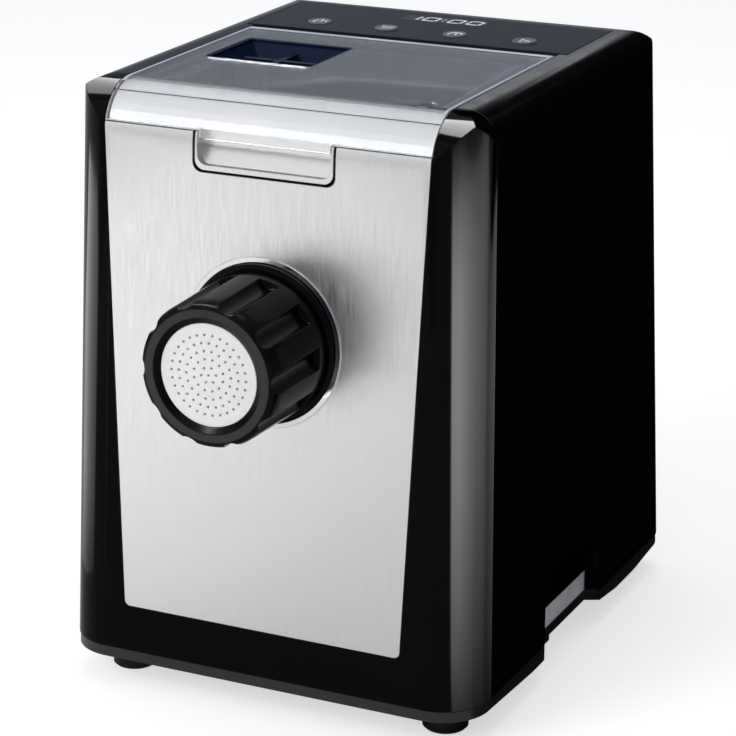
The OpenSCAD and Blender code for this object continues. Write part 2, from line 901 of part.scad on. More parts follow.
module base_screws() {
    color("silver")
    for (sx = [-1, 1])
        for (y = base_screw_y)
            translate([sx * base_screw_x, y, 0])
                rotate_extrude()
                    polygon([[0, foot_h + 0.4], [2.6, foot_h + 0.6], [2.6, foot_h + 2.4],
                        [1.25, foot_h + 2.4], [1.25, shell_low + 12], [0, shell_low + 12]]);
}

// Rubber foot: a waisted disc with a sunk hole for its screw.
module foot(sx, y) {
    color("#151516")
    translate([sx * foot_x, y, 0])
        rotate_extrude()
            polygon([
                [4, 0],
                [foot_r - 1.2, 0],
                [foot_r, 1.2],
                [foot_r, foot_h - 3],
                [foot_r - 1.5, foot_h],
                [1.9, foot_h],
                [1.9, 4],
                [4, 4]
            ]);
}

module foot_front_left() foot(-1, foot_y[0]);
module foot_front_right() foot(1, foot_y[0]);
module foot_rear_left() foot(-1, foot_y[1]);
module foot_rear_right() foot(1, foot_y[1]);

module foot_screws() {
    color("silver")
    for (sx = [-1, 1])
        for (y = foot_y)
            translate([sx * foot_x, y, 0])
                rotate_extrude()
                    polygon([[0, 1.5], [3.4, 1.8], [3.4, 4], [1.7, 4],
                        [1.7, tray_floor - 0.5], [0, tray_floor]]);
}

// Liner that closes a grip recess towards the inside of the shell.
module grip_liner_right() {
    color("#0b0b0c")
    difference() {
        union() {
            difference() {
                intersection() {
                    grip_form(liner_t);
                    body_form(wall + 0.1, shell_low);
                }
                grip_form(0);
            }
            grip_cup(liner_t);
        }
        grip_cup(0);
        // clear of the tray's rim
        block([0, grip_face + 0.1], [-far, far], [0, tray_top + 0.3]);
    }
}

module grip_liner_left() {
    mirror([1, 0, 0])
        grip_liner_right();
}

// ---------------------------------------------------------------- lid

// One side of the lid's cross-section, `t` inside the form of the body: a straight front
// that runs on below the lip, the front curve and the flat top.
function lid_skin(t) = rounded([
        [front_y(lid_lip_z - 30) + t, lid_lip_z - 30],
        [front_y(body_h - t) + t, body_h - t],
        [hinge_y, body_h - t]
    ], [0, front_top_r - t, 0]);

module lid() {
    inner = lid_skin(lid_t);
    color("#9fb0bd88")
    difference() {
        union() {
            difference() {
                along_x(concat(lid_skin(0), [for (i = [len(inner) - 1 : -1 : 0]) inner[i]]),
                    -lid_w / 2, lid_w / 2);
                // lip with a finger tab in the middle
                block([-far, far], [-far, body_y], [0, lid_lip_z - tab_drop]);
                both_sides()
                    block([scoop_w / 2 - scoop_t - 0.5, far], [-far, body_y], [0, lid_lip_z]);
            }
            // hinge barrel
            translate([-lid_w / 2, hinge_y, hinge_z])
                rotate([0, 90, 0])
                    cylinder(r = hinge_r, h = lid_w);
            // boss for the magnet
            translate([magnet_x, magnet_y, lid_under - 2.6])
                cylinder(r = 5.5, h = 3.1);
        }
        // step line round the front curve
        translate([-lid_w / 2 - 1, lid_skin(0)[7].x, lid_skin(0)[7].y])
            rotate([0, 90, 0])
                cylinder(r = 0.7, h = lid_w + 2);
        // pin bores
        for (sx = [-1, 1])
            translate([sx > 0 ? lid_w / 2 - hinge_pin_len + 6 : -lid_w / 2 - 1, hinge_y, hinge_z])
                rotate([0, 90, 0])
                    cylinder(r = hinge_pin_r + run_gap, h = hinge_pin_len - 5);
        // pouring opening
        translate([-filler_x, top_front + filler_y, lid_under - 1])
            linear_extrude(lid_t + 2)
                polygon(box_outline(filler_w, filler_d, 3));
        translate([magnet_x, magnet_y, lid_under - 3])
            cylinder(r = 3.5, h = 2.6);
    }
}

// Moulded funnel in the pouring opening, with a cross guard in its throat.
module filler_funnel() {
    top = body_h - 0.4;
    color("#1c2740")
    translate([-filler_x, top_front + filler_y, 0])
        intersection() {
            union() {
                difference() {
                    funnel_body(filler_w, filler_d, throat_w + 4, top, top - funnel_h);
                    funnel_body(filler_w - 3.2, filler_d - 3.2, throat_w, top + 0.5,
                        top - funnel_h - 0.5);
                }
                block([-throat_w / 2 - 4, throat_w / 2 + 4], [-1.6, 1.6],
                    [top - funnel_h, top - 4]);
                block([-1.6, 1.6], [-throat_w / 2 - 2, throat_w / 2 + 2],
                    [top - funnel_h, top - 4]);
            }
            translate([0, 0, body_h - 40])
                linear_extrude(50)
                    polygon(box_outline(filler_w - 0.2, filler_d - 0.2, 2.9));
        }
}

// A four-sided funnel solid: w by d at the top, narrow square at the bottom.
module funnel_body(w, d, narrow, top, low) {
    intersection() {
        along_y([[-narrow / 2, low], [-w / 2, top - 2], [-w / 2, top], [w / 2, top],
            [w / 2, top - 2], [narrow / 2, low]], -d, d);
        along_x([[-narrow / 2, low], [-d / 2, top - 2], [-d / 2, top], [d / 2, top],
            [d / 2, top - 2], [narrow / 2, low]], -w, w);
    }
}

module lid_magnet() {
    color("silver")
    translate([magnet_x, magnet_y, lid_under - 2.5])
        cylinder(r = 3.4, h = 2.1);
}

// Reed sensor on the ledge under the lid's magnet.
module lid_sensor() {
    color("#202226")
    block([magnet_x + 3, lid_open_w / 2 - 7], [magnet_y - 4, magnet_y + 4],
        [sill_z - 6.5, sill_z - 0.3]);
}

module hinge_pins() {
    color("silver")
    for (sx = [-1, 1])
        translate([sx > 0 ? lid_w / 2 - hinge_pin_len / 2 : -lid_w / 2 - hinge_pin_len / 2,
            hinge_y, hinge_z])
            rotate([0, 90, 0])
                cylinder(r = hinge_pin_r, h = hinge_pin_len);
}

// Soft frame on the chamber's flange, under the lid.
module lid_seal() {
    color("#3a3d42")
    difference() {
        seal_frame(flange_w / 2 - 1, flange_front + 4, flange_rear - 1, 0);
        seal_frame(flange_w / 2 - 4.5, flange_front + 7.5, flange_rear - 4.5, 1);
    }
}

module seal_frame(w, y0, y1, pad) {
    translate([0, 0, chamber_top + flange_t - pad])
        linear_extrude(seal_h + 2 * pad)
            polygon(rounded([[-w, y0], [w, y0], [w, y1], [-w, y1]], [4, 4, 4, 4]));
}

// ---------------------------------------------------------------- controls

function button_at(i) = [(i - 1.5) * button_pitch, fascia_front + button_y];

module control_fascia() {
    color("#26282b")
    // posts for the board
    for (sx = [-1, 1])
        for (y = [8, fascia_d - 10])
            translate([sx * (fascia_w / 2 - 13), fascia_front + y, board_z + board_t])
                cylinder(r = 3.2, h = fascia_z - board_z - board_t + 1);
    color("#26282b")
    difference() {
        along_x([
            [fascia_front, fascia_z],
            [fascia_front, body_h - 1.5],
            [fascia_front + 1.5, body_h],
            [fascia_front + fascia_d, body_h],
            [fascia_front + fascia_d, fascia_z]
        ], -fascia_w / 2, fascia_w / 2);
        for (i = [0 : 3])
            translate([button_at(i).x, button_at(i).y, fascia_z - 1])
                cylinder(r = button_r + button_gap, h = fascia_t + 2);
        translate([0, fascia_front + display_y, body_h - window_t])
            linear_extrude(9)
                polygon(box_outline(display_w, display_d, 2));
        translate([0, fascia_front + display_y, fascia_z - 1])
            linear_extrude(9)
                polygon(box_outline(display_w - 3, display_d - 3, 1));
    }
}

module display_window() {
    color("#4a5058")
    translate([0, fascia_front + display_y, body_h - window_t])
        linear_extrude(window_t)
            polygon(box_outline(display_w - 0.2, display_d - 0.2, 1.9));
}

// Board under the fascia with its four switches and the display module.
module control_board() {
    color("#20552f")
    union() {
        difference() {
            block([-fascia_w / 2 + 8, fascia_w / 2 - 8],
                [fascia_front + wall + 2, fascia_front + fascia_d - 6],
                [board_z, board_z + board_t]);
            for (sx = [-1, 1])
                for (y = [8, fascia_d - 10])
                    translate([sx * (fascia_w / 2 - 13), fascia_front + y, board_z - 1])
                        cylinder(r = 1.6, h = 9);
        }
        for (i = [0 : 3])
            translate([button_at(i).x, button_at(i).y, board_z + board_t - eps]) {
                translate([-3, -3, 0])
                    cube([6, 6, switch_h - 1]);
                cylinder(r = 1.7, h = switch_h);
            }
        block([-display_w / 2 + 2.5, display_w / 2 - 2.5],
            [fascia_front + display_y - display_d / 2 + 2, fascia_front + display_y + display_d / 2 - 2],
            [board_z + board_t - eps, body_h - window_t - 0.4]);
    }
}

// Round push button with a dished top, a retaining rim and a stem for its switch.
module button(i) {
    stem_low = board_z + board_t + switch_h + stem_rest_gap;
    top = body_h + button_proud;
    color("#3a3d41")
    translate([button_at(i).x, button_at(i).y, 0])
        rotate_extrude()
            polygon([
                [0, stem_low],
                [button_stem_r, stem_low],
                [button_stem_r, button_low - button_rim_t],
                [button_rim_r, button_low - button_rim_t],
                [button_rim_r, button_low],
                [button_r, button_low],
                [button_r, top - 0.5],
                [button_r - 0.5, top],
                [button_r - 1.6, top],
                [button_r - 2.6, top - 0.5],
                [0, top - 0.7]
            ]);
}

module button_power() button(0);
module button_program() button(1);
module button_timer() button(2);
module button_start() button(3);

// ---------------------------------------------------------------- mixing chamber

function trough(r, high) = concat(
    [[r, high]],
    [for (i = [0 : 3 * ARC]) [r * cos(-180 * i / (3 * ARC)), axis_z + r * sin(-180 * i / (3 * ARC))]],
    [[-r, high]]
);

module mixing_chamber() {
    color("#30363f")
    difference() {
        union() {
            along_y(trough(chamber_r + chamber_t, chamber_top),
                chamber_front - chamber_t, chamber_rear + chamber_t);
            // flange on the ledges
            block([-flange_w / 2, flange_w / 2], [flange_front, flange_rear],
                [chamber_top, chamber_top + flange_t]);
        }
        along_y(trough(chamber_r, chamber_top + 9), chamber_front, chamber_rear);
        rod_y(barrel_r - barrel_t, chamber_front - 9, chamber_front + 1);
        rod_y(output_shaft_r + 3, chamber_rear - 1, chamber_rear + 9);
    }
}

// Lip seal round the drive shaft in the chamber's rear wall.
module shaft_seal() {
    color("#9a4a32")
    difference() {
        union() {
            rod_y(output_shaft_r + 3, chamber_rear, chamber_rear + chamber_t);
            rod_y(output_shaft_r + 6, chamber_rear + chamber_t, chamber_rear + chamber_t + 2);
        }
        rod_y(output_shaft_r + run_gap, chamber_rear - 9, chamber_rear + 19);
    }
}

// Ring between the barrel and the chamber's front wall.
module barrel_seal() {
    color("#9a4a32")
    difference() {
        rod_y(barrel_flange_r - 1, barrel_rear, chamber_front - chamber_t);
        rod_y(barrel_r - barrel_t + 1, barrel_rear - 1, chamber_front);
    }
}

module extrusion_barrel() {
    color("#d9d9d6")
    difference() {
        union() {
            rod_y(barrel_r, barrel_front, barrel_rear);
            rod_y(barrel_flange_r, barrel_rear - barrel_flange_t, barrel_rear);
        }
        rod_y(barrel_r - barrel_t, barrel_front - 1, barrel_rear + 1);
        // straight grooves that stop the dough from turning with the screw
        for (i = [0 : 5])
            rod_y(1.5, barrel_front - 1, barrel_rear + 1,
                axis_z + (barrel_r - barrel_t + 0.4) * sin(i * 60 + 30),
                (barrel_r - barrel_t + 0.4) * cos(i * 60 + 30));
    }
}

// Paddle blade on the hub: a spoon-shaped plate, set askew to push the dough along.
module blade(y, angle) {
    translate([0, y, axis_z])
        rotate([0, angle, 0])
            rotate([0, 0, 28])
                rotate([90, 0, 0])
                    translate([0, 0, -paddle_t / 2])
                        linear_extrude(paddle_t)
                            polygon(rounded([
                                [-8, 0], [8, 0], [9, hub_r + 10], [14, paddle_r - 20],
                                [10, paddle_r - 4], [-10, paddle_r - 4],
                                [-14, paddle_r - 20], [-9, hub_r + 10]
                            ], [0, 0, 6, 8, 7, 7, 8, 6]));
}

module kneading_paddle() {
    color("#e6e4de")
    difference() {
        union() {
            rod_y(hub_r, hub_front, hub_rear);
            for (i = [0 : 2])
                for (side = [0, 180])
                    blade(hub_front + 14 + i * (hub_rear - hub_front - 28) / 2, i * 60 + side);
        }
        rod_y(hex_r + 0.1, hub_front - 1, hub_rear + 1, axis_z, 0, 6);
    }
}

// Screw that presses the dough to the disc: one flight on a tapered core.
module extruder_screw() {
    tall = screw_rear - screw_front - 4;
    color("#e6e4de")
    difference() {
        union() {
            rod_y(screw_core, screw_front, screw_rear);
            translate([0, screw_rear - 2, axis_z])
                rotate([90, 0, 0])
                    linear_extrude(tall, twist = -360 * tall / screw_pitch,
                        slices = round(14 * tall / screw_pitch))
                        polygon(concat(
                            [[0, 0]],
                            [for (i = [0 : 4]) screw_r * [cos(i * 16), sin(i * 16)]]
                        ));
        }
        rod_y(hex_r + 0.1, screw_front + 8, screw_rear + 1, axis_z, 0, 6);
    }
}

module drive_shaft() {
    color("#b8babd")
    union() {
        rod_y(hex_r, screw_front + 8.5, hub_rear + 1, axis_z, 0, 6);
        rod_y(output_shaft_r, hub_rear, cover_y + box_wall + 1);
    }
}

// ---------------------------------------------------------------- nozzle

module pasta_disc() {
    face = nut_front + 2;
    color("#efefed")
    difference() {
        union() {
            rod_y(disc_view_r, face, face + disc_boss + 1);
            rod_y(disc_r, face + disc_boss, face + disc_boss + disc_t);
        }
        for (ring = [0 : 5])
            for (k = [0 : max(ring * 6 - 1, 0)])
                let (a = k * 60 / max(ring, 1) + ring * 7)
                    rod_y(disc_hole_r, face - 1, face + disc_boss + disc_t + 1,
                        axis_z + ring * disc_ring * sin(a), ring * disc_ring * cos(a));
    }
}

// Ring nut with grips between shallow grooves, a smooth rear rim and a lip round the disc.
module ring_nut() {
    tall = nut_rear - nut_front;
    color("#141416")
    difference() {
        translate([0, nut_front, axis_z])
            rotate([-90, 0, 0])
                rotate_extrude()
                    polygon([
                        [disc_view_r + 3.2, 0],
                        [nut_r - 3, 0],
                        [nut_r - 1, 1],
                        [nut_r, 3.5],
                        [nut_r + 1, tall - 9],
                        [nut_r + 1, tall - 1],
                        [nut_r + 0.4, tall],
                        [nut_bore_r, tall],
                        [nut_bore_r, lip_t],
                        [disc_view_r + 0.3, lip_t],
                        [disc_view_r + 0.3, 2.2]
                    ]);
        for (i = [0 : nut_lobes - 1])
            rod_y(groove_r, nut_front - 1, nut_rear - 7,
                axis_z + (nut_r + groove_r - groove_d) * sin(i * 360 / nut_lobes + 73),
                (nut_r + groove_r - groove_d) * cos(i * 360 / nut_lobes + 73));
    }
}

// ---------------------------------------------------------------- gearbox

// Outline of the gearbox: three circles round the shafts, joined by straight flanks.
module box_outline_2d(grow) {
    low_r = 16;
    translate([0, axis_z])
        circle(r = box_r + grow);
    translate([0, idler_z])
        circle(r = box_idler_r + grow);
    translate([0, motor_z])
        circle(r = low_r + grow);
    polygon([
        [-box_r * 0.9 - grow, axis_z - box_r * 0.4],
        [-box_idler_r - grow, idler_z],
        [-low_r - grow, motor_z],
        [low_r + grow, motor_z],
        [box_idler_r + grow, idler_z],
        [box_r * 0.9 + grow, axis_z - box_r * 0.4]
    ]);
}

module box_prism(grow, y0, y1) {
    translate([0, y1, 0])
        rotate([90, 0, 0])
            linear_extrude(y1 - y0)
                box_outline_2d(grow);
}

box_screw_at = [
    [0, box_screw_r, axis_z], [65, box_screw_r, axis_z], [115, box_screw_r, axis_z],
    [-65, box_screw_r, axis_z], [-115, box_screw_r, axis_z]
];

module box_screw_holes(r, y0, y1) {
    for (s = box_screw_at)
        rod_y(r, y0, y1, s[2] + s[1] * cos(s[0]), s[1] * sin(s[0]));
}

module gearbox_plate() {
    color("#8d9093")
    difference() {
        union() {
            box_prism(box_flange, plate_y, plate_y + gearbox_t);
            // foot on the tray
            block([-46, 46], [plate_y, plate_y + gearbox_t], [tray_floor, motor_z]);
            block([-46, 46], [plate_y, plate_y + 26], [tray_floor, tray_floor + gearbox_t]);
        }
        rod_y(bushing_r, plate_y - 1, plate_y + gearbox_t + 1);
        rod_y(idler_shaft_r, plate_y - 1, plate_y + gearbox_t + 1, idler_z);
        rod_y(motor_shaft_r + 3, plate_y - 1, plate_y + gearbox_t + 1, motor_z);
        box_screw_holes(1.8, plate_y - 1, plate_y + gearbox_t + 1);
    }
}

module gearbox_cover() {
    y0 = plate_y + gearbox_t;
    color("#3c3f43")
    difference() {
        union() {
            box_prism(0, y0, cover_y + box_wall);
            intersection() {
                box_prism(box_flange, y0, y0 + 3);
                block([-far, far], [y0, y0 + 3], [tray_floor + gearbox_t + 2, far]);
            }
        }
        box_prism(-box_wall, y0 - 1, cover_y);
        rod_y(bushing_r, cover_y - 1, cover_y + 9);
        rod_y(idler_shaft_r, cover_y - 1, cover_y + 9, idler_z);
        box_screw_holes(1.8, y0 - 1, y0 + 9);
    }
}

module gearbox_screws() {
    color("silver")
    for (s = box_screw_at)
        union() {
            rod_y(1.7, plate_y + 0.5, plate_y + gearbox_t + 3,
                s[2] + s[1] * cos(s[0]), s[1] * sin(s[0]));
            rod_y(3.1, plate_y + gearbox_t + 3, plate_y + gearbox_t + 5.2,
                s[2] + s[1] * cos(s[0]), s[1] * sin(s[0]));
        }
}

module output_bushings() {
    color("#b07a3c")
    for (y = [[plate_y - bushing_rim, plate_y + gearbox_t], [cover_y, cover_y + box_wall]])
        difference() {
            union() {
                rod_y(bushing_r, y[0] + (y[0] < plate_y ? bushing_rim : 0), y[1]);
                if (y[0] < plate_y)
                    rod_y(bushing_r + 3, y[0], plate_y);
            }
            rod_y(output_shaft_r + run_gap, y[0] - 1, y[1] + 1);
        }
}

module output_gear() {
    rim = output_teeth * slow_m / 2;
    color("#e0dccf")
    difference() {
        union() {
            difference() {
                spur(output_teeth, slow_m, slow_w, slow_y, axis_z, -90, true);
                // web between hub and rim
                for (y = [slow_y - 1, slow_y + slow_w / 2 + 2])
                    difference() {
                        rod_y(rim - 8, y, y + slow_w / 2 - 1);
                        rod_y(output_shaft_r + 7, y - 1, y + slow_w);
                    }
            }
        }
        rod_y(output_shaft_r, slow_y - 1, slow_y + slow_w + 1);
        for (a = [0 : 60 : 300])
            rod_y(rim / 7.5, slow_y - 1, slow_y + slow_w + 1,
                axis_z + rim * 0.56 * sin(a), rim * 0.56 * cos(a));
    }
}

module idler_shaft() {
    color("silver")
    rod_y(idler_shaft_r, plate_y, cover_y + box_wall, idler_z);
}

module idler_gear() {
    rim = idler_teeth * fast_m / 2;
    color("#e0dccf")
    difference() {
        spur(idler_teeth, fast_m, fast_w, fast_y, idler_z, -90, true);
        rod_y(idler_shaft_r + run_gap, fast_y - 1, fast_y + fast_w + 1, idler_z);
        for (a = [0 : 72 : 288])
            rod_y(rim / 6, fast_y - 1, fast_y + fast_w + 1,
                idler_z + rim * 0.61 * sin(a), rim * 0.61 * cos(a));
    }
}

module idler_pinion() {
    color("#9b9da0")
    difference() {
        spur(idler_pinion_teeth, slow_m, fast_y - slow_y, slow_y, idler_z, 90);
        rod_y(idler_shaft_r + run_gap, slow_y - 1, fast_y + 1, idler_z);
    }
}

module motor_pinion() {
    color("#9b9da0")
    difference() {
        spur(motor_teeth, fast_m, fast_w, fast_y, motor_z, 90);
        rod_y(motor_shaft_r, fast_y - 1, fast_y + fast_w + 1, motor_z);
    }
}

// ---------------------------------------------------------------- motor

module motor_can() {
    color("#7c8084")
    difference() {
        rod_y(motor_r, motor_front, motor_rear, motor_z);
        rod_y(motor_r - motor_wall, motor_front + 3, motor_rear - 3, motor_z);
        rod_y(bearing_r, motor_front - 1, motor_rear + 1, motor_z);
        // air windows
        for (a = [30 : 60 : 330])
            translate([0, 0, motor_z])
                rotate([0, a, 0])
                    block([-8, 8], [motor_front + 8, motor_front + 20], [motor_r - 9, motor_r + 9]);
    }
}

module motor_bearings() {
    color("#c8c9cb")
    for (y = [motor_front, motor_rear - bearing_w])
        difference() {
            rod_y(bearing_r, y, y + bearing_w, motor_z);
            rod_y(motor_shaft_r + run_gap, y - 1, y + bearing_w + 1, motor_z);
        }
}

module motor_magnets() {
    color("#4b4e52")
    for (side = [0, 180])
        translate([0, 0, motor_z])
            rotate([0, side, 0])
                difference() {
                    translate([0, 0, -motor_z])
                        rod_y(motor_r - motor_wall, motor_front + magnet_in, motor_rear - magnet_in,
                            motor_z);
                    translate([0, 0, -motor_z])
                        rod_y(armature_r + 1.2, motor_front, motor_rear, motor_z);
                    block([-far, far], [-far, far], [-far, 8]);
                }
}

module motor_armature() {
    color("#8a5a34")
    union() {
        difference() {
            rod_y(armature_r, motor_front + magnet_in + 2, motor_rear - magnet_in - 2, motor_z);
            rod_y(motor_shaft_r, motor_front, motor_rear, motor_z);
            for (a = [0 : 30 : 330])
                translate([0, 0, motor_z])
                    rotate([0, a, 0])
                        block([-1.5, 1.5], [motor_front, motor_rear],
                            [armature_r - 8, armature_r + 2]);
        }
        difference() {
            rod_y(armature_r - 12, motor_rear - magnet_in - 2, motor_rear - magnet_in / 2 - 1, motor_z);
            rod_y(motor_shaft_r, motor_front, motor_rear, motor_z);
        }
    }
}

module motor_shaft() {
    color("#b8babd")
    rod_y(motor_shaft_r, motor_front - 10, fast_y + fast_w + 1, motor_z);
}

module motor_fan() {
    y0 = motor_front - 9;
    color("#2f3236")
    difference() {
        union() {
            rod_y(9, y0, y0 + 7, motor_z);
            rod_y(motor_r - 4, y0, y0 + 1.5, motor_z);
            for (a = [0 : 36 : 324])
                translate([0, 0, motor_z])
                    rotate([0, a, 0])
                        block([-0.8, 0.8], [y0 + 1, y0 + 7], [7, motor_r - 5]);
        }
        rod_y(motor_shaft_r, y0 - 1, y0 + 9, motor_z);
    }
}

// Saddles that carry the motor on the tray.
module motor_mounts() {
    color("#2a2b2d")
    for (y = [motor_front + 24, motor_rear - 30])
        difference() {
            block([-motor_r + 4, motor_r - 4], [y, y + 10], [tray_floor, motor_z - motor_r * 0.45]);
            rod_y(motor_r, y - 1, y + 11, motor_z);
        }
}

// ---------------------------------------------------------------- electrics

// Board with a transformer, capacitors and a relay, on four stand-offs.
module power_board() {
    x0 = -grip_face + cup_depth + 12;
    y0 = body_y - 76;
    z0 = tray_floor + 6;
    color("#8a6a3a")
    union() {
        block([x0, x0 + board_w], [y0, y0 + board_len], [z0, z0 + 1.6]);
        for (x = [x0 + 5, x0 + board_w - 5])
            for (y = [y0 + 5, y0 + board_len - 5])
                translate([x, y, tray_floor])
                    cylinder(r = 3, h = 6.1);
        block([x0 + 6, x0 + 34], [y0 + 12, y0 + 36], [z0 + 1, z0 + 20]);
        block([x0 + 8, x0 + 24], [y0 + 66, y0 + 84], [z0 + 1, z0 + 16]);
        for (y = [46, 58])
            translate([x0 + 14, y0 + y, z0 + 1])
                cylinder(r = 5, h = 18);
    }
}

// Appliance inlet for a detachable mains lead, set in the rear wall.
module mains_inlet() {
    color("#0e0e0f")
    on_rear(inlet_z)
        translate([inlet_x, 0, 0])
            difference() {
                union() {
                    translate([0, 0, 0])
                        linear_extrude(1.4)
                            polygon(box_outline(inlet_w, inlet_h, 4));
                    translate([0, 0, -20])
                        linear_extrude(20.5)
                            polygon(box_outline(inlet_w - 3.4, inlet_h - 3.4, 2.8));
                }
                translate([0, 0, -16])
                    linear_extrude(20)
                        polygon(rounded([
                            [-12, -8.2], [12, -8.2], [12, 4], [7.8, 8.2], [-7.8, 8.2], [-12, 4]
                        ], [1.5, 1.5, 1, 1, 1, 1]));
            }
}

module inlet_pins() {
    color("silver")
    on_rear(inlet_z)
        translate([inlet_x, 0, -16])
            for (p = [[-7, 1.6], [7, 1.6], [0, -2.4]])
                translate([p.x - 1, p.y - 2, 0])
                    cube([2, 4, 12]);
}

housing();
front_bezel();
front_panel();
lip_strip();
finger_scoop();
nozzle_collar();
trim_ring();
base_pan();
inner_tray();
base_screws();
foot_front_left();
foot_front_right();
foot_rear_left();
foot_rear_right();
foot_screws();
grip_liner_left();
grip_liner_right();
lid();
filler_funnel();
lid_magnet();
lid_sensor();
hinge_pins();
lid_seal();
control_fascia();
display_window();
control_board();
button_power();
button_program();
button_timer();
button_start();
mixing_chamber();
shaft_seal();
barrel_seal();
extrusion_barrel();
kneading_paddle();
extruder_screw();
drive_shaft();
pasta_disc();
ring_nut();
gearbox_plate();
gearbox_cover();
gearbox_screws();
output_bushings();
output_gear();
idler_shaft();
idler_gear();
idler_pinion();
motor_pinion();
motor_can();
motor_bearings();
motor_magnets();
motor_armature();
motor_shaft();
motor_fan();
motor_mounts();
power_board();
mains_inlet();
inlet_pins();
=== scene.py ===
"""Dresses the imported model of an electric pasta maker: materials, small surface detail,
floor, light and the photograph's camera. Lengths are metres, in the row frame of the CAD;
numbers times MM are millimetres."""

import json
import math

import bmesh
import bpy
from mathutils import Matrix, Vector
from mathutils.bvhtree import BVHTree


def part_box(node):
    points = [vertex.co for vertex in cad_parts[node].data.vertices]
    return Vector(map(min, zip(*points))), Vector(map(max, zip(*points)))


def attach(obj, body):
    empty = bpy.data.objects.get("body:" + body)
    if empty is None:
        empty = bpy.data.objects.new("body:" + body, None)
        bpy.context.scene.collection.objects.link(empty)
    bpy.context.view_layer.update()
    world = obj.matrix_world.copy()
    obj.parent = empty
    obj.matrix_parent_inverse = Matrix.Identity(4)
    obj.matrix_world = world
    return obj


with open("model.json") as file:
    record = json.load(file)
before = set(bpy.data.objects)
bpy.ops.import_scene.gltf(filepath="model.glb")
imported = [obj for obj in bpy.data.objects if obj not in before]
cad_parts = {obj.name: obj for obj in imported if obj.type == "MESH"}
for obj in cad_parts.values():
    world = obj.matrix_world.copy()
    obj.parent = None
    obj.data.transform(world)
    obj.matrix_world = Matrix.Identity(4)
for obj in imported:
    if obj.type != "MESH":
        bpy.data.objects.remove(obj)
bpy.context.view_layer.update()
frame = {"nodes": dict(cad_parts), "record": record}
nodes = frame["nodes"]
MM = 0.001

# ------------------------------------------------------------------ camera

VIEW_AZIMUTH = 25.4     # degrees, from the front towards the right
VIEW_ELEVATION = 18.69  # degrees
VIEW_DISTANCE = 1.449
VIEW_TARGET = Vector((-4.53, 22.2, 140.64)) * MM
SENSOR = 36             # millimetres
LENS = 135.1            # millimetres, on that sensor


def add_camera():
    """The camera of the photograph, recovered from its edges."""
    az, el = math.radians(VIEW_AZIMUTH), math.radians(VIEW_ELEVATION)
    offset = Vector((math.sin(az) * math.cos(el), -math.cos(az) * math.cos(el), math.sin(el)))
    data = bpy.data.cameras.new("camera")
    data.lens = LENS
    data.sensor_width = SENSOR
    data.clip_start, data.clip_end = 0.05, 30
    cam = bpy.data.objects.new("camera", data)
    cam.location = VIEW_TARGET + offset * VIEW_DISTANCE
    cam.rotation_euler = (-offset).to_track_quat("-Z", "Y").to_euler()
    bpy.context.scene.collection.objects.link(cam)
    bpy.context.scene.camera = cam


# ------------------------------------------------------------------ materials

NOISE_LOW, NOISE_HIGH = 0.3, 0.7    # most values of a noise texture lie between these
COLOUR_PATCHES = 40                 # noise scale of the slight variation in colour
GLOSS_PATCHES = 90                  # and of the variation in gloss
MOULDED_DEPTH = 0.2 * MM            # height of a full step of relief in plastic
METAL_DEPTH = 0.1 * MM              # and in metal
CLEAR_DEPTH = 0.3 * MM              # and in clear plastic
EDGE_SAMPLES = 6                    # rays that round the shading of an edge
SUBTLE_EDGE, SOFT_EDGE, WIDE_EDGE = 0.3 * MM, 0.5 * MM, 1 * MM      # radius of that rounding


def new_material(name):
    """An empty node material with its Principled shader: (material, tree, shader)."""
    mat = bpy.data.materials.new(name)
    mat.use_nodes = True
    tree = mat.node_tree
    return mat, tree, tree.nodes["Principled BSDF"]


def add(tree, kind, **inputs):
    """A shader node with some of its inputs set; keys with _ stand for spaces."""
    node = tree.nodes.new(kind)
    for key, value in inputs.items():
        node.inputs[key.replace("_", " ")].default_value = value
    return node


def grey(share):
    """A colour socket's value for a grey."""
    return (share, share, share, 1)


def calculate(tree, operation, first, second):
    """A Math node; each operand is a socket or a number."""
    node = tree.nodes.new("ShaderNodeMath")
    node.operation = operation
    for slot, value in enumerate((first, second)):
        if isinstance(value, (int, float)):
            node.inputs[slot].default_value = value
        else:
            tree.links.new(value, node.inputs[slot])
    return node.outputs[0]


def coordinates(tree, scale=(1, 1, 1)):
    """Object coordinates, stretched by scale."""
    coord = tree.nodes.new("ShaderNodeTexCoord")
    mapping = add(tree, "ShaderNodeMapping", Scale=scale)
    tree.links.new(coord.outputs["Object"], mapping.inputs["Vector"])
    return mapping.outputs["Vector"]


def noise(tree, scale, detail=3, stretch=(1, 1, 1)):
    """A noise texture on object coordinates."""
    tex = add(tree, "ShaderNodeTexNoise", Scale=scale, Detail=detail)
    tree.links.new(coordinates(tree, stretch), tex.inputs["Vector"])
    return tex.outputs["Fac"]


def spread(tree, value, low, high):
    """Maps a texture's middle range to low..high."""
    node = add(tree, "ShaderNodeMapRange", From_Min=NOISE_LOW, From_Max=NOISE_HIGH,
               To_Min=low, To_Max=high)
    tree.links.new(value, node.inputs["Value"])
    return node.outputs["Result"]


def tint(tree, shader, value, dark, light):
    """Colours the shader between two colours by a texture."""
    ramp = tree.nodes.new("ShaderNodeValToRGB")
    first, last = ramp.color_ramp.elements
    first.position, last.position = NOISE_LOW, NOISE_HIGH
    first.color, last.color = (*dark, 1), (*light, 1)
    tree.links.new(value, ramp.inputs["Fac"])
    tree.links.new(ramp.outputs["Color"], shader.inputs["Base Color"])


def shades(colour, shade):
    """The colour a share darker, and the same share lighter."""
    return (tuple(c * (1 - shade) for c in colour),
            tuple(min(c * (1 + shade), 1) for c in colour))


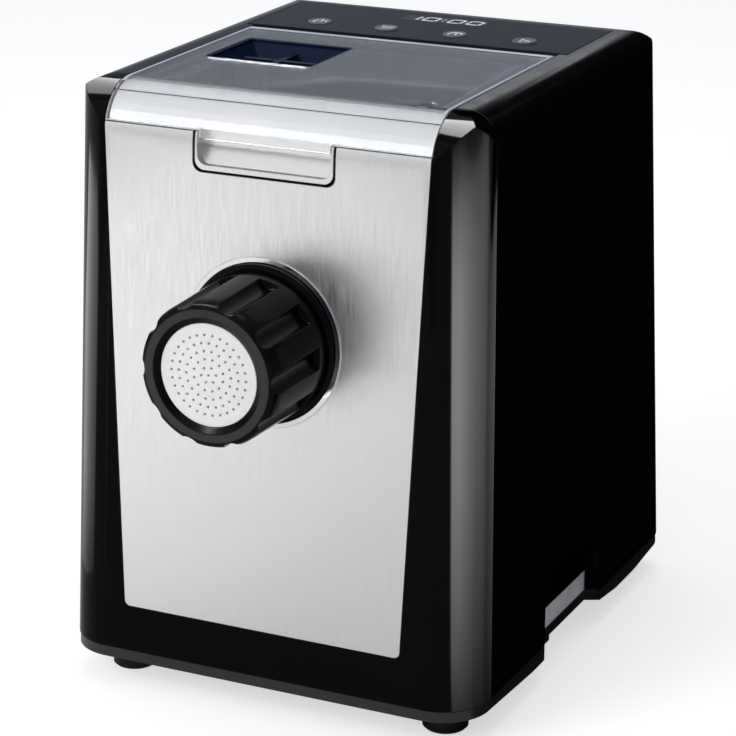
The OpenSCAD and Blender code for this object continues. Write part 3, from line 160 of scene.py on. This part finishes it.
def bump(tree, shader, value, strength, distance, edge=0.0):
    """Relief from a texture, distance in metres; edge rounds the sharp edges' shading."""
    node = add(tree, "ShaderNodeBump", Strength=strength, Distance=distance)
    tree.links.new(value, node.inputs["Height"])
    if edge:
        soft = add(tree, "ShaderNodeBevel", Radius=edge)
        soft.samples = EDGE_SAMPLES
        tree.links.new(soft.outputs["Normal"], node.inputs["Normal"])
    tree.links.new(node.outputs["Normal"], shader.inputs["Normal"])


def moulded(name, colour, rough=0.35, specular=0.5, grain=2500, relief=0.04, shade=0.15,
            edge=0.0):
    """Moulded plastic or rubber: fine grain, and a slight variation in colour and gloss."""
    mat, tree, shader = new_material(name)
    tint(tree, shader, noise(tree, COLOUR_PATCHES), *shades(colour, shade))
    tree.links.new(spread(tree, noise(tree, GLOSS_PATCHES), rough * 0.85, rough * 1.15),
                   shader.inputs["Roughness"])
    bump(tree, shader, noise(tree, grain, 2), relief, MOULDED_DEPTH, edge)
    shader.inputs["Specular IOR Level"].default_value = specular
    return mat


def milky(name, colour, rough, specular):
    """Slightly translucent moulded plastic: light spreads a little inside it."""
    mat = moulded(name, colour, rough, specular, shade=0.03)
    shader = mat.node_tree.nodes["Principled BSDF"]
    shader.inputs["Subsurface Weight"].default_value = 0.5
    shader.inputs["Subsurface Radius"].default_value = (1, 0.9, 0.8)
    shader.inputs["Subsurface Scale"].default_value = 2 * MM
    return mat


def metal(name, colour, rough=0.3, stretch=(1, 1, 1), grain=900, relief=0.05, shade=0.06,
          edge=0.0, drawn=0.0):
    """Bare metal, with its grain drawn out along the axis whose stretch is small. drawn is
    how much the brushing spreads reflections sideways."""
    mat, tree, shader = new_material(name)
    line = noise(tree, grain, 4, stretch)
    tint(tree, shader, line, *shades(colour, shade))
    tree.links.new(spread(tree, line, rough * 0.8, rough * 1.2), shader.inputs["Roughness"])
    bump(tree, shader, line, relief, METAL_DEPTH, edge)
    shader.inputs["Metallic"].default_value = 1
    if drawn:
        shader.inputs["Anisotropic"].default_value = drawn
        tangent = tree.nodes.new("ShaderNodeTangent")
        tangent.direction_type = "RADIAL"
        tangent.axis = "Z"
        tree.links.new(tangent.outputs[0], shader.inputs["Tangent"])
    return mat


def clear(name, colour, rough=0.03):
    """Clear moulded plastic with a faint ripple and a trace of haze."""
    mat, tree, shader = new_material(name)
    tint(tree, shader, noise(tree, 20), colour, tuple(min(c * 1.03, 1) for c in colour))
    tree.links.new(spread(tree, noise(tree, 60), rough * 0.8, rough * 1.3),
                   shader.inputs["Roughness"])
    bump(tree, shader, noise(tree, 30, 2), 0.01, CLEAR_DEPTH)
    shader.inputs["Transmission Weight"].default_value = 0.95
    shader.inputs["IOR"].default_value = 1.5
    return mat


def board_material(name):
    """Green circuit board with a darker pattern of tracks."""
    mat, tree, shader = new_material(name)
    tex = add(tree, "ShaderNodeTexBrick", Scale=120)
    tree.links.new(coordinates(tree), tex.inputs["Vector"])
    tex.inputs["Color1"].default_value = (0.01, 0.09, 0.03, 1)
    tex.inputs["Color2"].default_value = (0.012, 0.12, 0.04, 1)
    tex.inputs["Mortar"].default_value = (0.03, 0.2, 0.07, 1)
    tree.links.new(tex.outputs["Color"], shader.inputs["Base Color"])
    bump(tree, shader, tex.outputs["Fac"], 0.1, MOULDED_DEPTH)
    shader.inputs["Roughness"].default_value = 0.4
    return mat


BRUSHED = (1, 1, 0.012)       # grain drawn out along Z

LOOKS = {
    "gloss_black": moulded("gloss_black", (0.0012, 0.0012, 0.0013), 0.09, 0.05, relief=0.004,
                           edge=SOFT_EDGE),
    "black_shell": moulded("black_shell", (0.0016, 0.0016, 0.0018), 0.2, 0.12, relief=0.01,
                           edge=SOFT_EDGE),
    "steel_panel": metal("steel_panel", (0.70, 0.695, 0.685), 0.36, BRUSHED, 1400, 0.03, 0.035,
                         edge=0.4 * MM, drawn=0.35),
    "trim": metal("trim", (0.75, 0.75, 0.77), 0.12),
    "nut_black": moulded("nut_black", (0.002, 0.002, 0.0022), 0.2, 0.06, edge=WIDE_EDGE),
    "disc_white": milky("disc_white", (0.84, 0.835, 0.82), 0.5, 0.2),
    "clear_lid": clear("clear_lid", (0.97, 0.98, 1.0)),
    "funnel_navy": moulded("funnel_navy", (0.0035, 0.0075, 0.027), 0.2, 0.15),
    "fascia": moulded("fascia", (0.0035, 0.0042, 0.0075), 0.2, 0.08, edge=SOFT_EDGE),
    "window": moulded("window", (0.01, 0.012, 0.018), 0.1, 0.3, relief=0.005),
    "button": moulded("button", (0.12, 0.125, 0.145), 0.35, 0.2, edge=SUBTLE_EDGE),
    "board": board_material("board"),
    "base_dark": moulded("base_dark", (0.016, 0.016, 0.017), 0.3, 0.4, edge=SOFT_EDGE),
    "tray_grey": moulded("tray_grey", (0.62, 0.62, 0.63), 0.45),
    "rubber": moulded("rubber", (0.006, 0.006, 0.006), 0.6, 0.3, 1800, 0.1),
    "screw_steel": metal("screw_steel", (0.6, 0.6, 0.62), 0.3),
    "chamber": moulded("chamber", (0.072, 0.087, 0.12), 0.3, 0.4),
    "seal": moulded("seal", (0.35, 0.09, 0.04), 0.6, 0.3),
    "food_white": moulded("food_white", (0.7, 0.69, 0.65), 0.4, 0.4),
    "gear_nylon": moulded("gear_nylon", (0.7, 0.67, 0.56), 0.5, 0.3),
    "steel": metal("steel", (0.55, 0.55, 0.57), 0.25),
    "bronze": metal("bronze", (0.5, 0.3, 0.12), 0.4),
    "motor_steel": metal("motor_steel", (0.35, 0.36, 0.37), 0.45),
    "magnet": moulded("magnet", (0.04, 0.04, 0.045), 0.7, 0.05),
    "copper": metal("copper", (0.6, 0.25, 0.1), 0.4, (1, 0.02, 1), 700, 0.4, 0.25),
    "plate": metal("plate", (0.5, 0.51, 0.52), 0.35),
}


SHARP_ANGLE = 24            # degrees between two faces, from which their edge stays sharp
WELD_DISTANCE = 0.002 * MM


def smoothing():
    """Geometry nodes that shade faces smooth across all but the sharper edges."""
    group = bpy.data.node_groups.new("smooth_shading", "GeometryNodeTree")
    group.interface.new_socket("Geometry", in_out="INPUT", socket_type="NodeSocketGeometry")
    group.interface.new_socket("Geometry", in_out="OUTPUT", socket_type="NodeSocketGeometry")
    start, end = group.nodes.new("NodeGroupInput"), group.nodes.new("NodeGroupOutput")
    faces = group.nodes.new("GeometryNodeSetShadeSmooth")
    edges = group.nodes.new("GeometryNodeSetShadeSmooth")
    edges.domain = "EDGE"
    edges.inputs["Shade Smooth"].default_value = False
    angle = group.nodes.new("GeometryNodeInputMeshEdgeAngle")
    sharp = group.nodes.new("ShaderNodeMath")
    sharp.operation = "GREATER_THAN"
    sharp.inputs[1].default_value = math.radians(SHARP_ANGLE)
    group.links.new(angle.outputs["Unsigned Angle"], sharp.inputs[0])
    group.links.new(start.outputs[0], faces.inputs["Geometry"])
    group.links.new(faces.outputs[0], edges.inputs["Geometry"])
    group.links.new(sharp.outputs[0], edges.inputs["Selection"])
    group.links.new(edges.outputs[0], end.inputs[0])
    return group


def dress_nodes():
    """Gives every CAD node the look of its material slot, and smooth shading."""
    slot_of = {s["node"]: s["material_slot"] for s in frame["record"]["subparts"]}
    group = smoothing()
    for name, obj in nodes.items():
        obj.data.materials.clear()
        obj.data.materials.append(LOOKS[slot_of[name]])
        if "custom_normal" in obj.data.attributes:
            obj.data.attributes.remove(obj.data.attributes["custom_normal"])
        weld = obj.modifiers.new("weld", "WELD")
        weld.merge_threshold = WELD_DISTANCE
        obj.modifiers.new("smooth", "NODES").node_group = group


# ------------------------------------------------------------------ printed and moulded detail

PRINT = moulded("print_grey", (0.66, 0.68, 0.73), 0.5, 0.2)
DIGITS = moulded("digit_grey", (0.75, 0.76, 0.8), 0.4, 0.2)
# near-white: painted light for the lit steel lip seen through the clear lid, on a guessed
# printed band
LIP_PAINTED_LIGHT = moulded("lip_painted_light", (0.97, 0.97, 0.98), 0.4, 0.3, shade=0.01)
# pale lilac grey: a painted highlight along the lid's edges
LID_EDGE_HIGHLIGHT = moulded("lid_edge_highlight", (0.5, 0.53, 0.62), 0.15, 0.5)

PRINT_THICK = 0.05 * MM     # of marks and digits above the surface they lie on


def place(name, bm, look, body):
    """Makes a piece from a bmesh, which rides on a body."""
    bmesh.ops.recalc_face_normals(bm, faces=bm.faces)
    mesh = bpy.data.meshes.new(name)
    bm.to_mesh(mesh)
    bm.free()
    mesh.materials.append(look)
    piece = bpy.data.objects.new(name, mesh)
    bpy.context.scene.collection.objects.link(piece)
    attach(piece, body)


def surface_height(node):
    """A function of x and y that gives the height of the node's upper surface there."""
    tree = BVHTree.FromObject(nodes[node], bpy.context.evaluated_depsgraph_get())

    def height(x, y):
        hit = tree.ray_cast(Vector((x, y, 1.0)), Vector((0, 0, -1)))[0]
        return hit.z
    return height


def ribbon(bm, path, width, height, thick, step=0.4 * MM):
    """Adds a thin band along a path of (x, y), laid on the surface that height gives and
    bent to it once every step. Its upper side is a fifth narrower than its foot."""
    points = [Vector((*p, 0)) for p in path]
    dense = []
    for a, b in zip(points, points[1:]):
        count = max(1, math.ceil((b - a).length / step))
        dense += [a.lerp(b, i / count) for i in range(count)]
    dense.append(points[-1])
    rows = []
    for i, p in enumerate(dense):
        before = dense[i - 1] if i else p
        after = dense[i + 1] if i + 1 < len(dense) else p
        along = (after - before).normalized()
        side = Vector((-along.y, along.x, 0)) * width / 2
        row = []
        for q, up in ((p - side, -thick / 2), (p - side * 0.8, thick), (p + side * 0.8, thick),
                      (p + side, -thick / 2)):
            row.append(bm.verts.new((q.x, q.y, height(q.x, q.y) + up)))
        rows.append(row)
    for a, b in zip(rows, rows[1:]):
        for k in range(4):
            bm.faces.new((a[k], a[(k + 1) % 4], b[(k + 1) % 4], b[k]))
    bm.faces.new(rows[0])
    bm.faces.new(rows[-1][::-1])


def arc(r, start, end, count=24):
    """Points along an arc round the origin, angles in degrees."""
    angles = [math.radians(start + (end - start) * i / count) for i in range(count + 1)]
    return [(r * math.cos(a), r * math.sin(a)) for a in angles]


MARK_UNIT = 1.15 * MM       # the length that 1 stands for in the strokes below
MARK_STROKE = 1.1 * MM


def button_marks():
    """A plain symbol on each button: power, layers, clock and start."""
    shapes = {
        "button_power": [arc(3.0, 125, 415), [(0, 0.6), (0, 3.8)]],
        "button_program": [[(-3, 2.4), (3, 2.4)], [(-3, 0), (3, 0)], [(-3, -2.4), (3, -2.4)]],
        "button_timer": [arc(3.2, 0, 360), [(0, 2.0), (0, 0), (1.5, -0.9)]],
        "button_start": [[(-2.0, 2.8), (3.0, 0), (-2.0, -2.8), (-2.0, 2.8)]],
    }
    for node, strokes in shapes.items():
        low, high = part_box(node)
        middle = (low + high) / 2
        height = surface_height(node)
        bm = bmesh.new()
        for stroke in strokes:
            path = [(middle.x + x * MARK_UNIT, middle.y + y * MARK_UNIT) for x, y in stroke]
            ribbon(bm, path, MARK_STROKE, height, PRINT_THICK)
        place(node + "_mark", bm, PRINT, node)


SEGMENTS = {                # ends of each segment in a digit 1 wide and 2 high
    "a": ((0, 2), (1, 2)), "b": ((1, 2), (1, 1)), "c": ((1, 1), (1, 0)),
    "d": ((0, 0), (1, 0)), "e": ((0, 0), (0, 1)), "f": ((0, 1), (0, 2)),
}
LIT = {"0": "abcdef", "1": "bc"}
DIGIT_PLACES = [x * MM for x in (-18, -7.2, 7.2, 18)]   # from the window's middle
DIGIT_WIDTH, DIGIT_HALF = 7.2 * MM, 4.1 * MM            # width, and half the height
DIGIT_LEAN = 0.10                                       # of the height, to the right
DIGIT_STROKE = 1.7 * MM
SEGMENT_GAP = 0.4 * MM                                  # left out at a segment's ends
DOT_AWAY = 1.8 * MM                                     # from the window's middle
DOT_HALF, DOT_STROKE = 0.6 * MM, 1.2 * MM               # half the length, and the width


def display_digits():
    """Four plain digits on the display window, as of a timer."""
    low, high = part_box("display_window")
    middle = (low + high) / 2
    height = surface_height("display_window")
    bm = bmesh.new()
    for digit, at in zip("1000", DIGIT_PLACES):
        for key in LIT[digit]:
            ends = [Vector(((x - 0.5) * DIGIT_WIDTH + (y - 1) * DIGIT_HALF * DIGIT_LEAN,
                            (y - 1) * DIGIT_HALF, 0)) for x, y in SEGMENTS[key]]
            gap = (ends[1] - ends[0]).normalized() * SEGMENT_GAP
            path = [(middle.x + at + p.x, middle.y + p.y)
                    for p in (ends[0] + gap, ends[1] - gap)]
            ribbon(bm, path, DIGIT_STROKE, height, PRINT_THICK)
    for y in (-DOT_AWAY, DOT_AWAY):
        path = [(middle.x, middle.y + y + end) for end in (-DOT_HALF, DOT_HALF)]
        ribbon(bm, path, DOT_STROKE, height, PRINT_THICK)
    place("display_digits", bm, DIGITS, "body")


LIP_REACH = 17 * MM         # from the face of the lid's lip back to the lid's flat top
LIP_HEART = 14 * MM         # below the lid's highest point: the height of the curve's heart
BEAD_STEP = 4 * MM


def lid_edge_highlight():
    """The low bead along the lid's two sides and its rear edge, where it is wider; its pale
    colour is a painted highlight of those edges.
    """
    low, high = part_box("lid")
    height = surface_height("lid")
    side_inset, rear_inset = 1.3 * MM, 6.6 * MM
    left, right = low.x + side_inset, high.x - side_inset
    front, rear = low.y + LIP_REACH, high.y - rear_inset
    path = [(left, front), (left, rear), (right, rear), (right, front)]
    bm = bmesh.new()
    ribbon(bm, path, 1.5 * MM, height, 0.2 * MM, BEAD_STEP)
    ribbon(bm, path[1:3], 3.0 * MM, height, 0.14 * MM, BEAD_STEP)
    place("lid_edge_highlight_bead", bm, LID_EDGE_HIGHLIGHT, "lid")


def lip_painted_light():
    """Pale band on the inside of the lid's front curve and of the first stretch of its flat
    top: a guessed printed band whose near-white is painted light, standing in for the lit
    steel lip seen through the clear lid. Its profile is felt out with rays."""
    skin = BVHTree.FromObject(nodes["lid"], bpy.context.evaluated_depsgraph_get())
    low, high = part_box("lid")
    at_x = low.x + 22 * MM                      # beside the finger tab
    gap, thick, side_gap = 0.12 * MM, 0.18 * MM, 0.8 * MM
    profile = []

    def touch(start, way):
        spot, normal = skin.ray_cast(Vector((at_x, *start)), Vector((0, *way)))[:2]
        if normal.dot(Vector((0, *way))) > 0:
            normal = -normal
        profile.append((spot + normal * gap, spot + normal * (gap + thick)))

    heart_y, heart_z = low.y + LIP_REACH, high.z - LIP_HEART
    upright, steps = 3.2 * MM, 13               # the face of the lip, below the curve
    for k in range(steps + 1):
        touch((heart_y, heart_z - upright + upright * k / steps), (-1, 0))
    steps = 24                                  # the curve
    for k in range(1, steps):
        angle = math.radians(90 * k / steps)
        touch((heart_y, heart_z), (-math.cos(angle), math.sin(angle)))
    flat, steps = 9.2 * MM, 4                   # the flat top
    for k in range(steps + 1):
        touch((heart_y + flat * k / steps, heart_z), (0, 1))
    bm = bmesh.new()
    rows = []
    for x in (low.x + side_gap, high.x - side_gap):
        rows.append([[bm.verts.new((x, p.y, p.z)) for p in pair] for pair in profile])
    for a, b, c, d in zip(rows[0], rows[0][1:], rows[1], rows[1][1:]):
        bm.faces.new((a[0], b[0], d[0], c[0]))
        bm.faces.new((a[1], c[1], d[1], b[1]))
        bm.faces.new((a[0], a[1], b[1], b[0]))
        bm.faces.new((c[0], d[0], d[1], c[1]))
    for k in (0, -1):
        a, c = rows[0][k], rows[1][k]
        bm.faces.new((a[0], c[0], c[1], a[1]))
    place("lid_lip_painted_light_band", bm, LIP_PAINTED_LIGHT, "lid")


# ------------------------------------------------------------------ stage

CARD_HEIGHT = 3 * MM        # of the cards on the floor
FLAG_HEIGHT = 1.5 * MM      # of the flag on the floor, below the cards


def floor_material():
    """Pale floor that shows white to the camera and keeps the object's shadow, with less
    glow in reflections."""
    mat, tree, shader = new_material("floor")
    shader.inputs["Base Color"].default_value = grey(0.55)
    shader.inputs["Roughness"].default_value = 0.8
    shader.inputs["Specular IOR Level"].default_value = 0.0
    path = tree.nodes.new("ShaderNodeLightPath").outputs
    seen = calculate(tree, "MAXIMUM", path["Is Camera Ray"], path["Is Transmission Ray"])
    seen = calculate(tree, "MULTIPLY", seen, 0.6)
    gleam = calculate(tree, "MULTIPLY", path["Is Glossy Ray"], 0.2)
    glow = add(tree, "ShaderNodeEmission", Color=grey(1))
    tree.links.new(calculate(tree, "MAXIMUM", seen, gleam), glow.inputs["Strength"])
    total = tree.nodes.new("ShaderNodeAddShader")
    tree.links.new(shader.outputs[0], total.inputs[0])
    tree.links.new(glow.outputs[0], total.inputs[1])
    tree.links.new(total.outputs[0], tree.nodes["Material Output"].inputs["Surface"])
    return mat


def add_floor():
    """A flat floor whose far edge curves up into the backdrop."""
    rings = [(1.2, 0.0), (2.4, 0.0), (3.5, 0.0), (4.2, 0.05), (4.8, 0.2), (5.3, 0.45),
             (5.7, 0.75), (6.0, 1.1)]           # radius and height
    sides = 48
    bm = bmesh.new()
    rows = []
    for radius, high in rings:
        rows.append([bm.verts.new((radius * math.cos(a), radius * math.sin(a), high))
                     for a in (2 * math.pi * i / sides for i in range(sides))])
    centre = bm.verts.new((0, 0, 0))
    for i in range(sides):
        j = (i + 1) % sides
        bm.faces.new((centre, rows[0][i], rows[0][j]))
        for a, b in zip(rows, rows[1:]):
            bm.faces.new((a[i], b[i], b[j], a[j]))
    for face in bm.faces:
        face.smooth = True
    mesh = bpy.data.meshes.new("floor")
    bm.to_mesh(mesh)
    bm.free()
    mesh.materials.append(floor_material())
    floor = bpy.data.objects.new("floor", mesh)
    bpy.context.scene.collection.objects.link(floor)


def add_world():
    """Even studio surroundings, a little darker and bluer towards the horizon."""
    world = bpy.data.worlds.new("world")
    world.use_nodes = True
    tree = world.node_tree
    coord = tree.nodes.new("ShaderNodeTexCoord")
    split = tree.nodes.new("ShaderNodeSeparateXYZ")
    tree.links.new(coord.outputs["Generated"], split.inputs[0])
    ramp = tree.nodes.new("ShaderNodeValToRGB")
    horizon, above = ramp.color_ramp.elements
    horizon.position, horizon.color = 0.3, (0.20, 0.225, 0.275, 1)
    above.position, above.color = 0.75, (0.56, 0.57, 0.59, 1)
    tree.links.new(split.outputs["Z"], ramp.inputs["Fac"])
    # seen directly, the surroundings look like the white floor
    path = tree.nodes.new("ShaderNodeLightPath")
    mix = tree.nodes.new("ShaderNodeMix")
    mix.data_type = "RGBA"
    # the colour sockets of this node are its numbers 6 and 7, and 2 of the outputs
    tree.links.new(path.outputs["Is Camera Ray"], mix.inputs[0])
    tree.links.new(ramp.outputs["Color"], mix.inputs[6])
    mix.inputs[7].default_value = (0.85, 0.86, 0.88, 1)
    tree.links.new(mix.outputs[2], tree.nodes["Background"].inputs["Color"])
    bpy.context.scene.world = world


def add_area(name, at, look_at, size, power):
    """A rectangular soft light; at and look_at in metres, power in watts."""
    data = bpy.data.lights.new(name, "AREA")
    data.shape = "RECTANGLE"
    data.size, data.size_y = size
    data.energy = power
    lamp = bpy.data.objects.new(name, data)
    lamp.location = at
    turn = (Vector(look_at) - Vector(at)).to_track_quat("-Z", "Y")
    lamp.rotation_euler = turn.to_euler()
    lamp.visible_camera = False
    bpy.context.scene.collection.objects.link(lamp)
    return lamp


def only_gleam(lamp, *names):
    """The lamp shows only as a reflection, and only in the named nodes."""
    lamp.visible_diffuse = False
    lamp.data.use_shadow = False
    group = bpy.data.collections.new(lamp.name + "_receivers")
    for name in names:
        group.objects.link(nodes[name])
    lamp.light_linking.receiver_collection = group


def fade(tree, value, stops):
    """A grey ramp: stops are (value, share) pairs, from low to high."""
    low, high = stops[0][0], stops[-1][0]
    node = add(tree, "ShaderNodeMapRange", From_Min=low, From_Max=high)
    tree.links.new(value, node.inputs["Value"])
    ramp = tree.nodes.new("ShaderNodeValToRGB")
    elements = ramp.color_ramp.elements
    elements[0].position, elements[1].position = 0, 1
    elements[0].color = grey(stops[0][1])
    elements[1].color = grey(stops[-1][1])
    for at, share in stops[1:-1]:
        elements.new((at - low) / (high - low)).color = grey(share)
    tree.links.new(node.outputs["Result"], ramp.inputs["Fac"])
    return ramp.outputs["Color"]


def floor_card(name, low, high, origin, level, by_distance, by_angle, names):
    """A bright card on the floor from corner low to corner high, seen only as a reflection
    in the named nodes. Its brightness is level times a share by distance from the origin,
    times a share by the angle there, in degrees from the front towards the right."""
    width, depth = high[0] - low[0], high[1] - low[1]
    at = ((low[0] + high[0]) / 2, (low[1] + high[1]) / 2, CARD_HEIGHT)
    lamp = add_area(name, at, (at[0], at[1], 1), (width, depth),
                    level * math.pi * width * depth)
    lamp.data.use_nodes = True
    tree = lamp.data.node_tree
    spot = tree.nodes.new("ShaderNodeNewGeometry").outputs["Position"]
    away = tree.nodes.new("ShaderNodeVectorMath")
    away.operation = "SUBTRACT"
    away.inputs[1].default_value = (*origin, CARD_HEIGHT)
    tree.links.new(spot, away.inputs[0])
    length = tree.nodes.new("ShaderNodeVectorMath")
    length.operation = "LENGTH"
    tree.links.new(away.outputs[0], length.inputs[0])
    split = tree.nodes.new("ShaderNodeSeparateXYZ")
    tree.links.new(away.outputs[0], split.inputs[0])
    back = calculate(tree, "MULTIPLY", split.outputs["Y"], -1)
    angle = calculate(tree, "ARCTAN2", split.outputs["X"], back)
    angle = calculate(tree, "MULTIPLY", angle, 180 / math.pi)
    share = calculate(tree, "MULTIPLY", fade(tree, length.outputs["Value"], by_distance),
                      fade(tree, angle, by_angle))
    tree.links.new(share, tree.nodes["Emission"].inputs["Strength"])
    only_gleam(lamp, *names)
    return lamp


def add_lights():
    """Key, softbox and top light, then the cards and lamps for single reflections."""
    middle = (0, 0, 0.15)
    key = add_area("key", (-0.9, -1.7, 1.2), middle, (1.0, 1.0), 20)
    key.visible_glossy = False                  # gloss shows the wide softbox instead
    add_area("softbox", (-1.0, -1.75, 1.3), middle, (3.2, 2.0), 15)
    add_area("top", (0.0, 0.3, 1.9), middle, (1.2, 1.2), 8)

    # cards on the floor: the strips in the front frame, the steel's sheen, the nut's glint
    front = (0.0, -0.1)
    floor_card("left_card", (-1.6, -0.95), (-0.25, 0.2), (-0.1, -0.1), 7.5,
               ((0.1, 0.05), (0.2, 0.28), (0.35, 0.6), (0.55, 0.7), (0.85, 0.9), (1.15, 1),
                (1.28, 0.9), (1.33, 0)),
               ((-120, 0), (-105, 0.8), (-85, 1), (-62, 1), (-57, 0)), ["front_bezel"])
    floor_card("right_card", (0.12, -1.5), (1.7, 1.0), (0.1, -0.1), 48.0,
               ((0.03, 0.03), (0.15, 0.36), (0.25, 0.56), (0.45, 0.85), (0.7, 1), (1.1, 1),
                (1.45, 0.7), (1.75, 0.2), (1.9, 0)),
               ((38, 0), (41, 1), (57, 1), (93, 0.4), (129, 0.06), (160, 0.03)),
               ["front_bezel"])
    card = floor_card("steel_card", (-1.3, -1.8), (0.3, -0.15), front, 0.72,
                      ((0.1, 0.05), (0.22, 0.33), (0.47, 0.6), (1.0, 1), (1.8, 1)),
                      ((-70, 1), (-33, 1), (-27, 0.7), (-21, 0.3), (-12, 0.08), (0, 0)),
                      ["front_panel", "finger_scoop", "lip_strip"])
    card.data.use_shadow = True                 # the nut stands in this card's light
    floor_card("nut_card", (-0.65, -0.95), (-0.1, -0.4), front, 7.4,
               ((0.1, 1), (1, 1)), ((-80, 1), (0, 1)), ["ring_nut"])

    # lamps overhead: the patches on the frame's top corners, the shoulder, the nut's grips
    for name, at, look_at, size, power, node in (
            ("right_box", (-0.296, 0.0, 1.2), (-0.296, 0.0, 0), (0.3, 0.66), 40, "front_bezel"),
            ("left_box", (-0.66, 0.25, 1.2), (-0.66, 0.25, 0), (0.3, 1.0), 25, "front_bezel"),
            ("back_box", (-0.29, 1.12, 0.63), (0.097, 0.03, 0.309), (0.3, 0.14), 0.15,
             "housing"),
            ("nut_box", (-0.45, -0.46, 1.05), (0, -0.16, 0.2), (0.5, 0.5), 40, "ring_nut")):
        only_gleam(add_area(name, at, look_at, size, power), node)


def add_flag(name, corners):
    """A black cloth with its corners in metres, seen only in reflections."""
    mesh = bpy.data.meshes.new(name)
    mesh.from_pydata(corners, [], [tuple(range(len(corners)))])
    mat, _, shader = new_material(name)
    shader.inputs["Base Color"].default_value = grey(0.001)
    shader.inputs["Specular IOR Level"].default_value = 0.0
    mesh.materials.append(mat)
    flag = bpy.data.objects.new(name, mesh)
    bpy.context.scene.collection.objects.link(flag)
    flag.visible_camera = False
    flag.visible_diffuse = False
    flag.visible_transmission = False
    flag.visible_shadow = False


def add_flags():
    """Flags that keep the right side and the shoulders black: one on the floor to the
    right, one that stands at its far end and one that hangs behind the machine."""
    near, far = -0.1, 1.9
    add_flag("side_flag", [(0.05, near, FLAG_HEIGHT), (0.9, near, FLAG_HEIGHT),
                           (1.6, far, FLAG_HEIGHT), (0.05, far, FLAG_HEIGHT)])
    add_flag("corner_flag", [(0.05, far, 0), (2.4, far, 0), (2.4, far, 1.2),
                             (0.05, far, 1.2)])
    low, high, behind = 0.87, 3.0, 1.5
    add_flag("back_flag", [(-0.7, behind, low), (0.5, behind, low), (0.5, behind, high),
                           (-0.7, behind, high)])


add_camera()
add_world()
add_floor()
add_flags()
add_lights()
dress_nodes()
button_marks()
display_digits()
lid_edge_highlight()
lip_painted_light()

bpy.context.scene.view_settings.view_transform = "Standard"
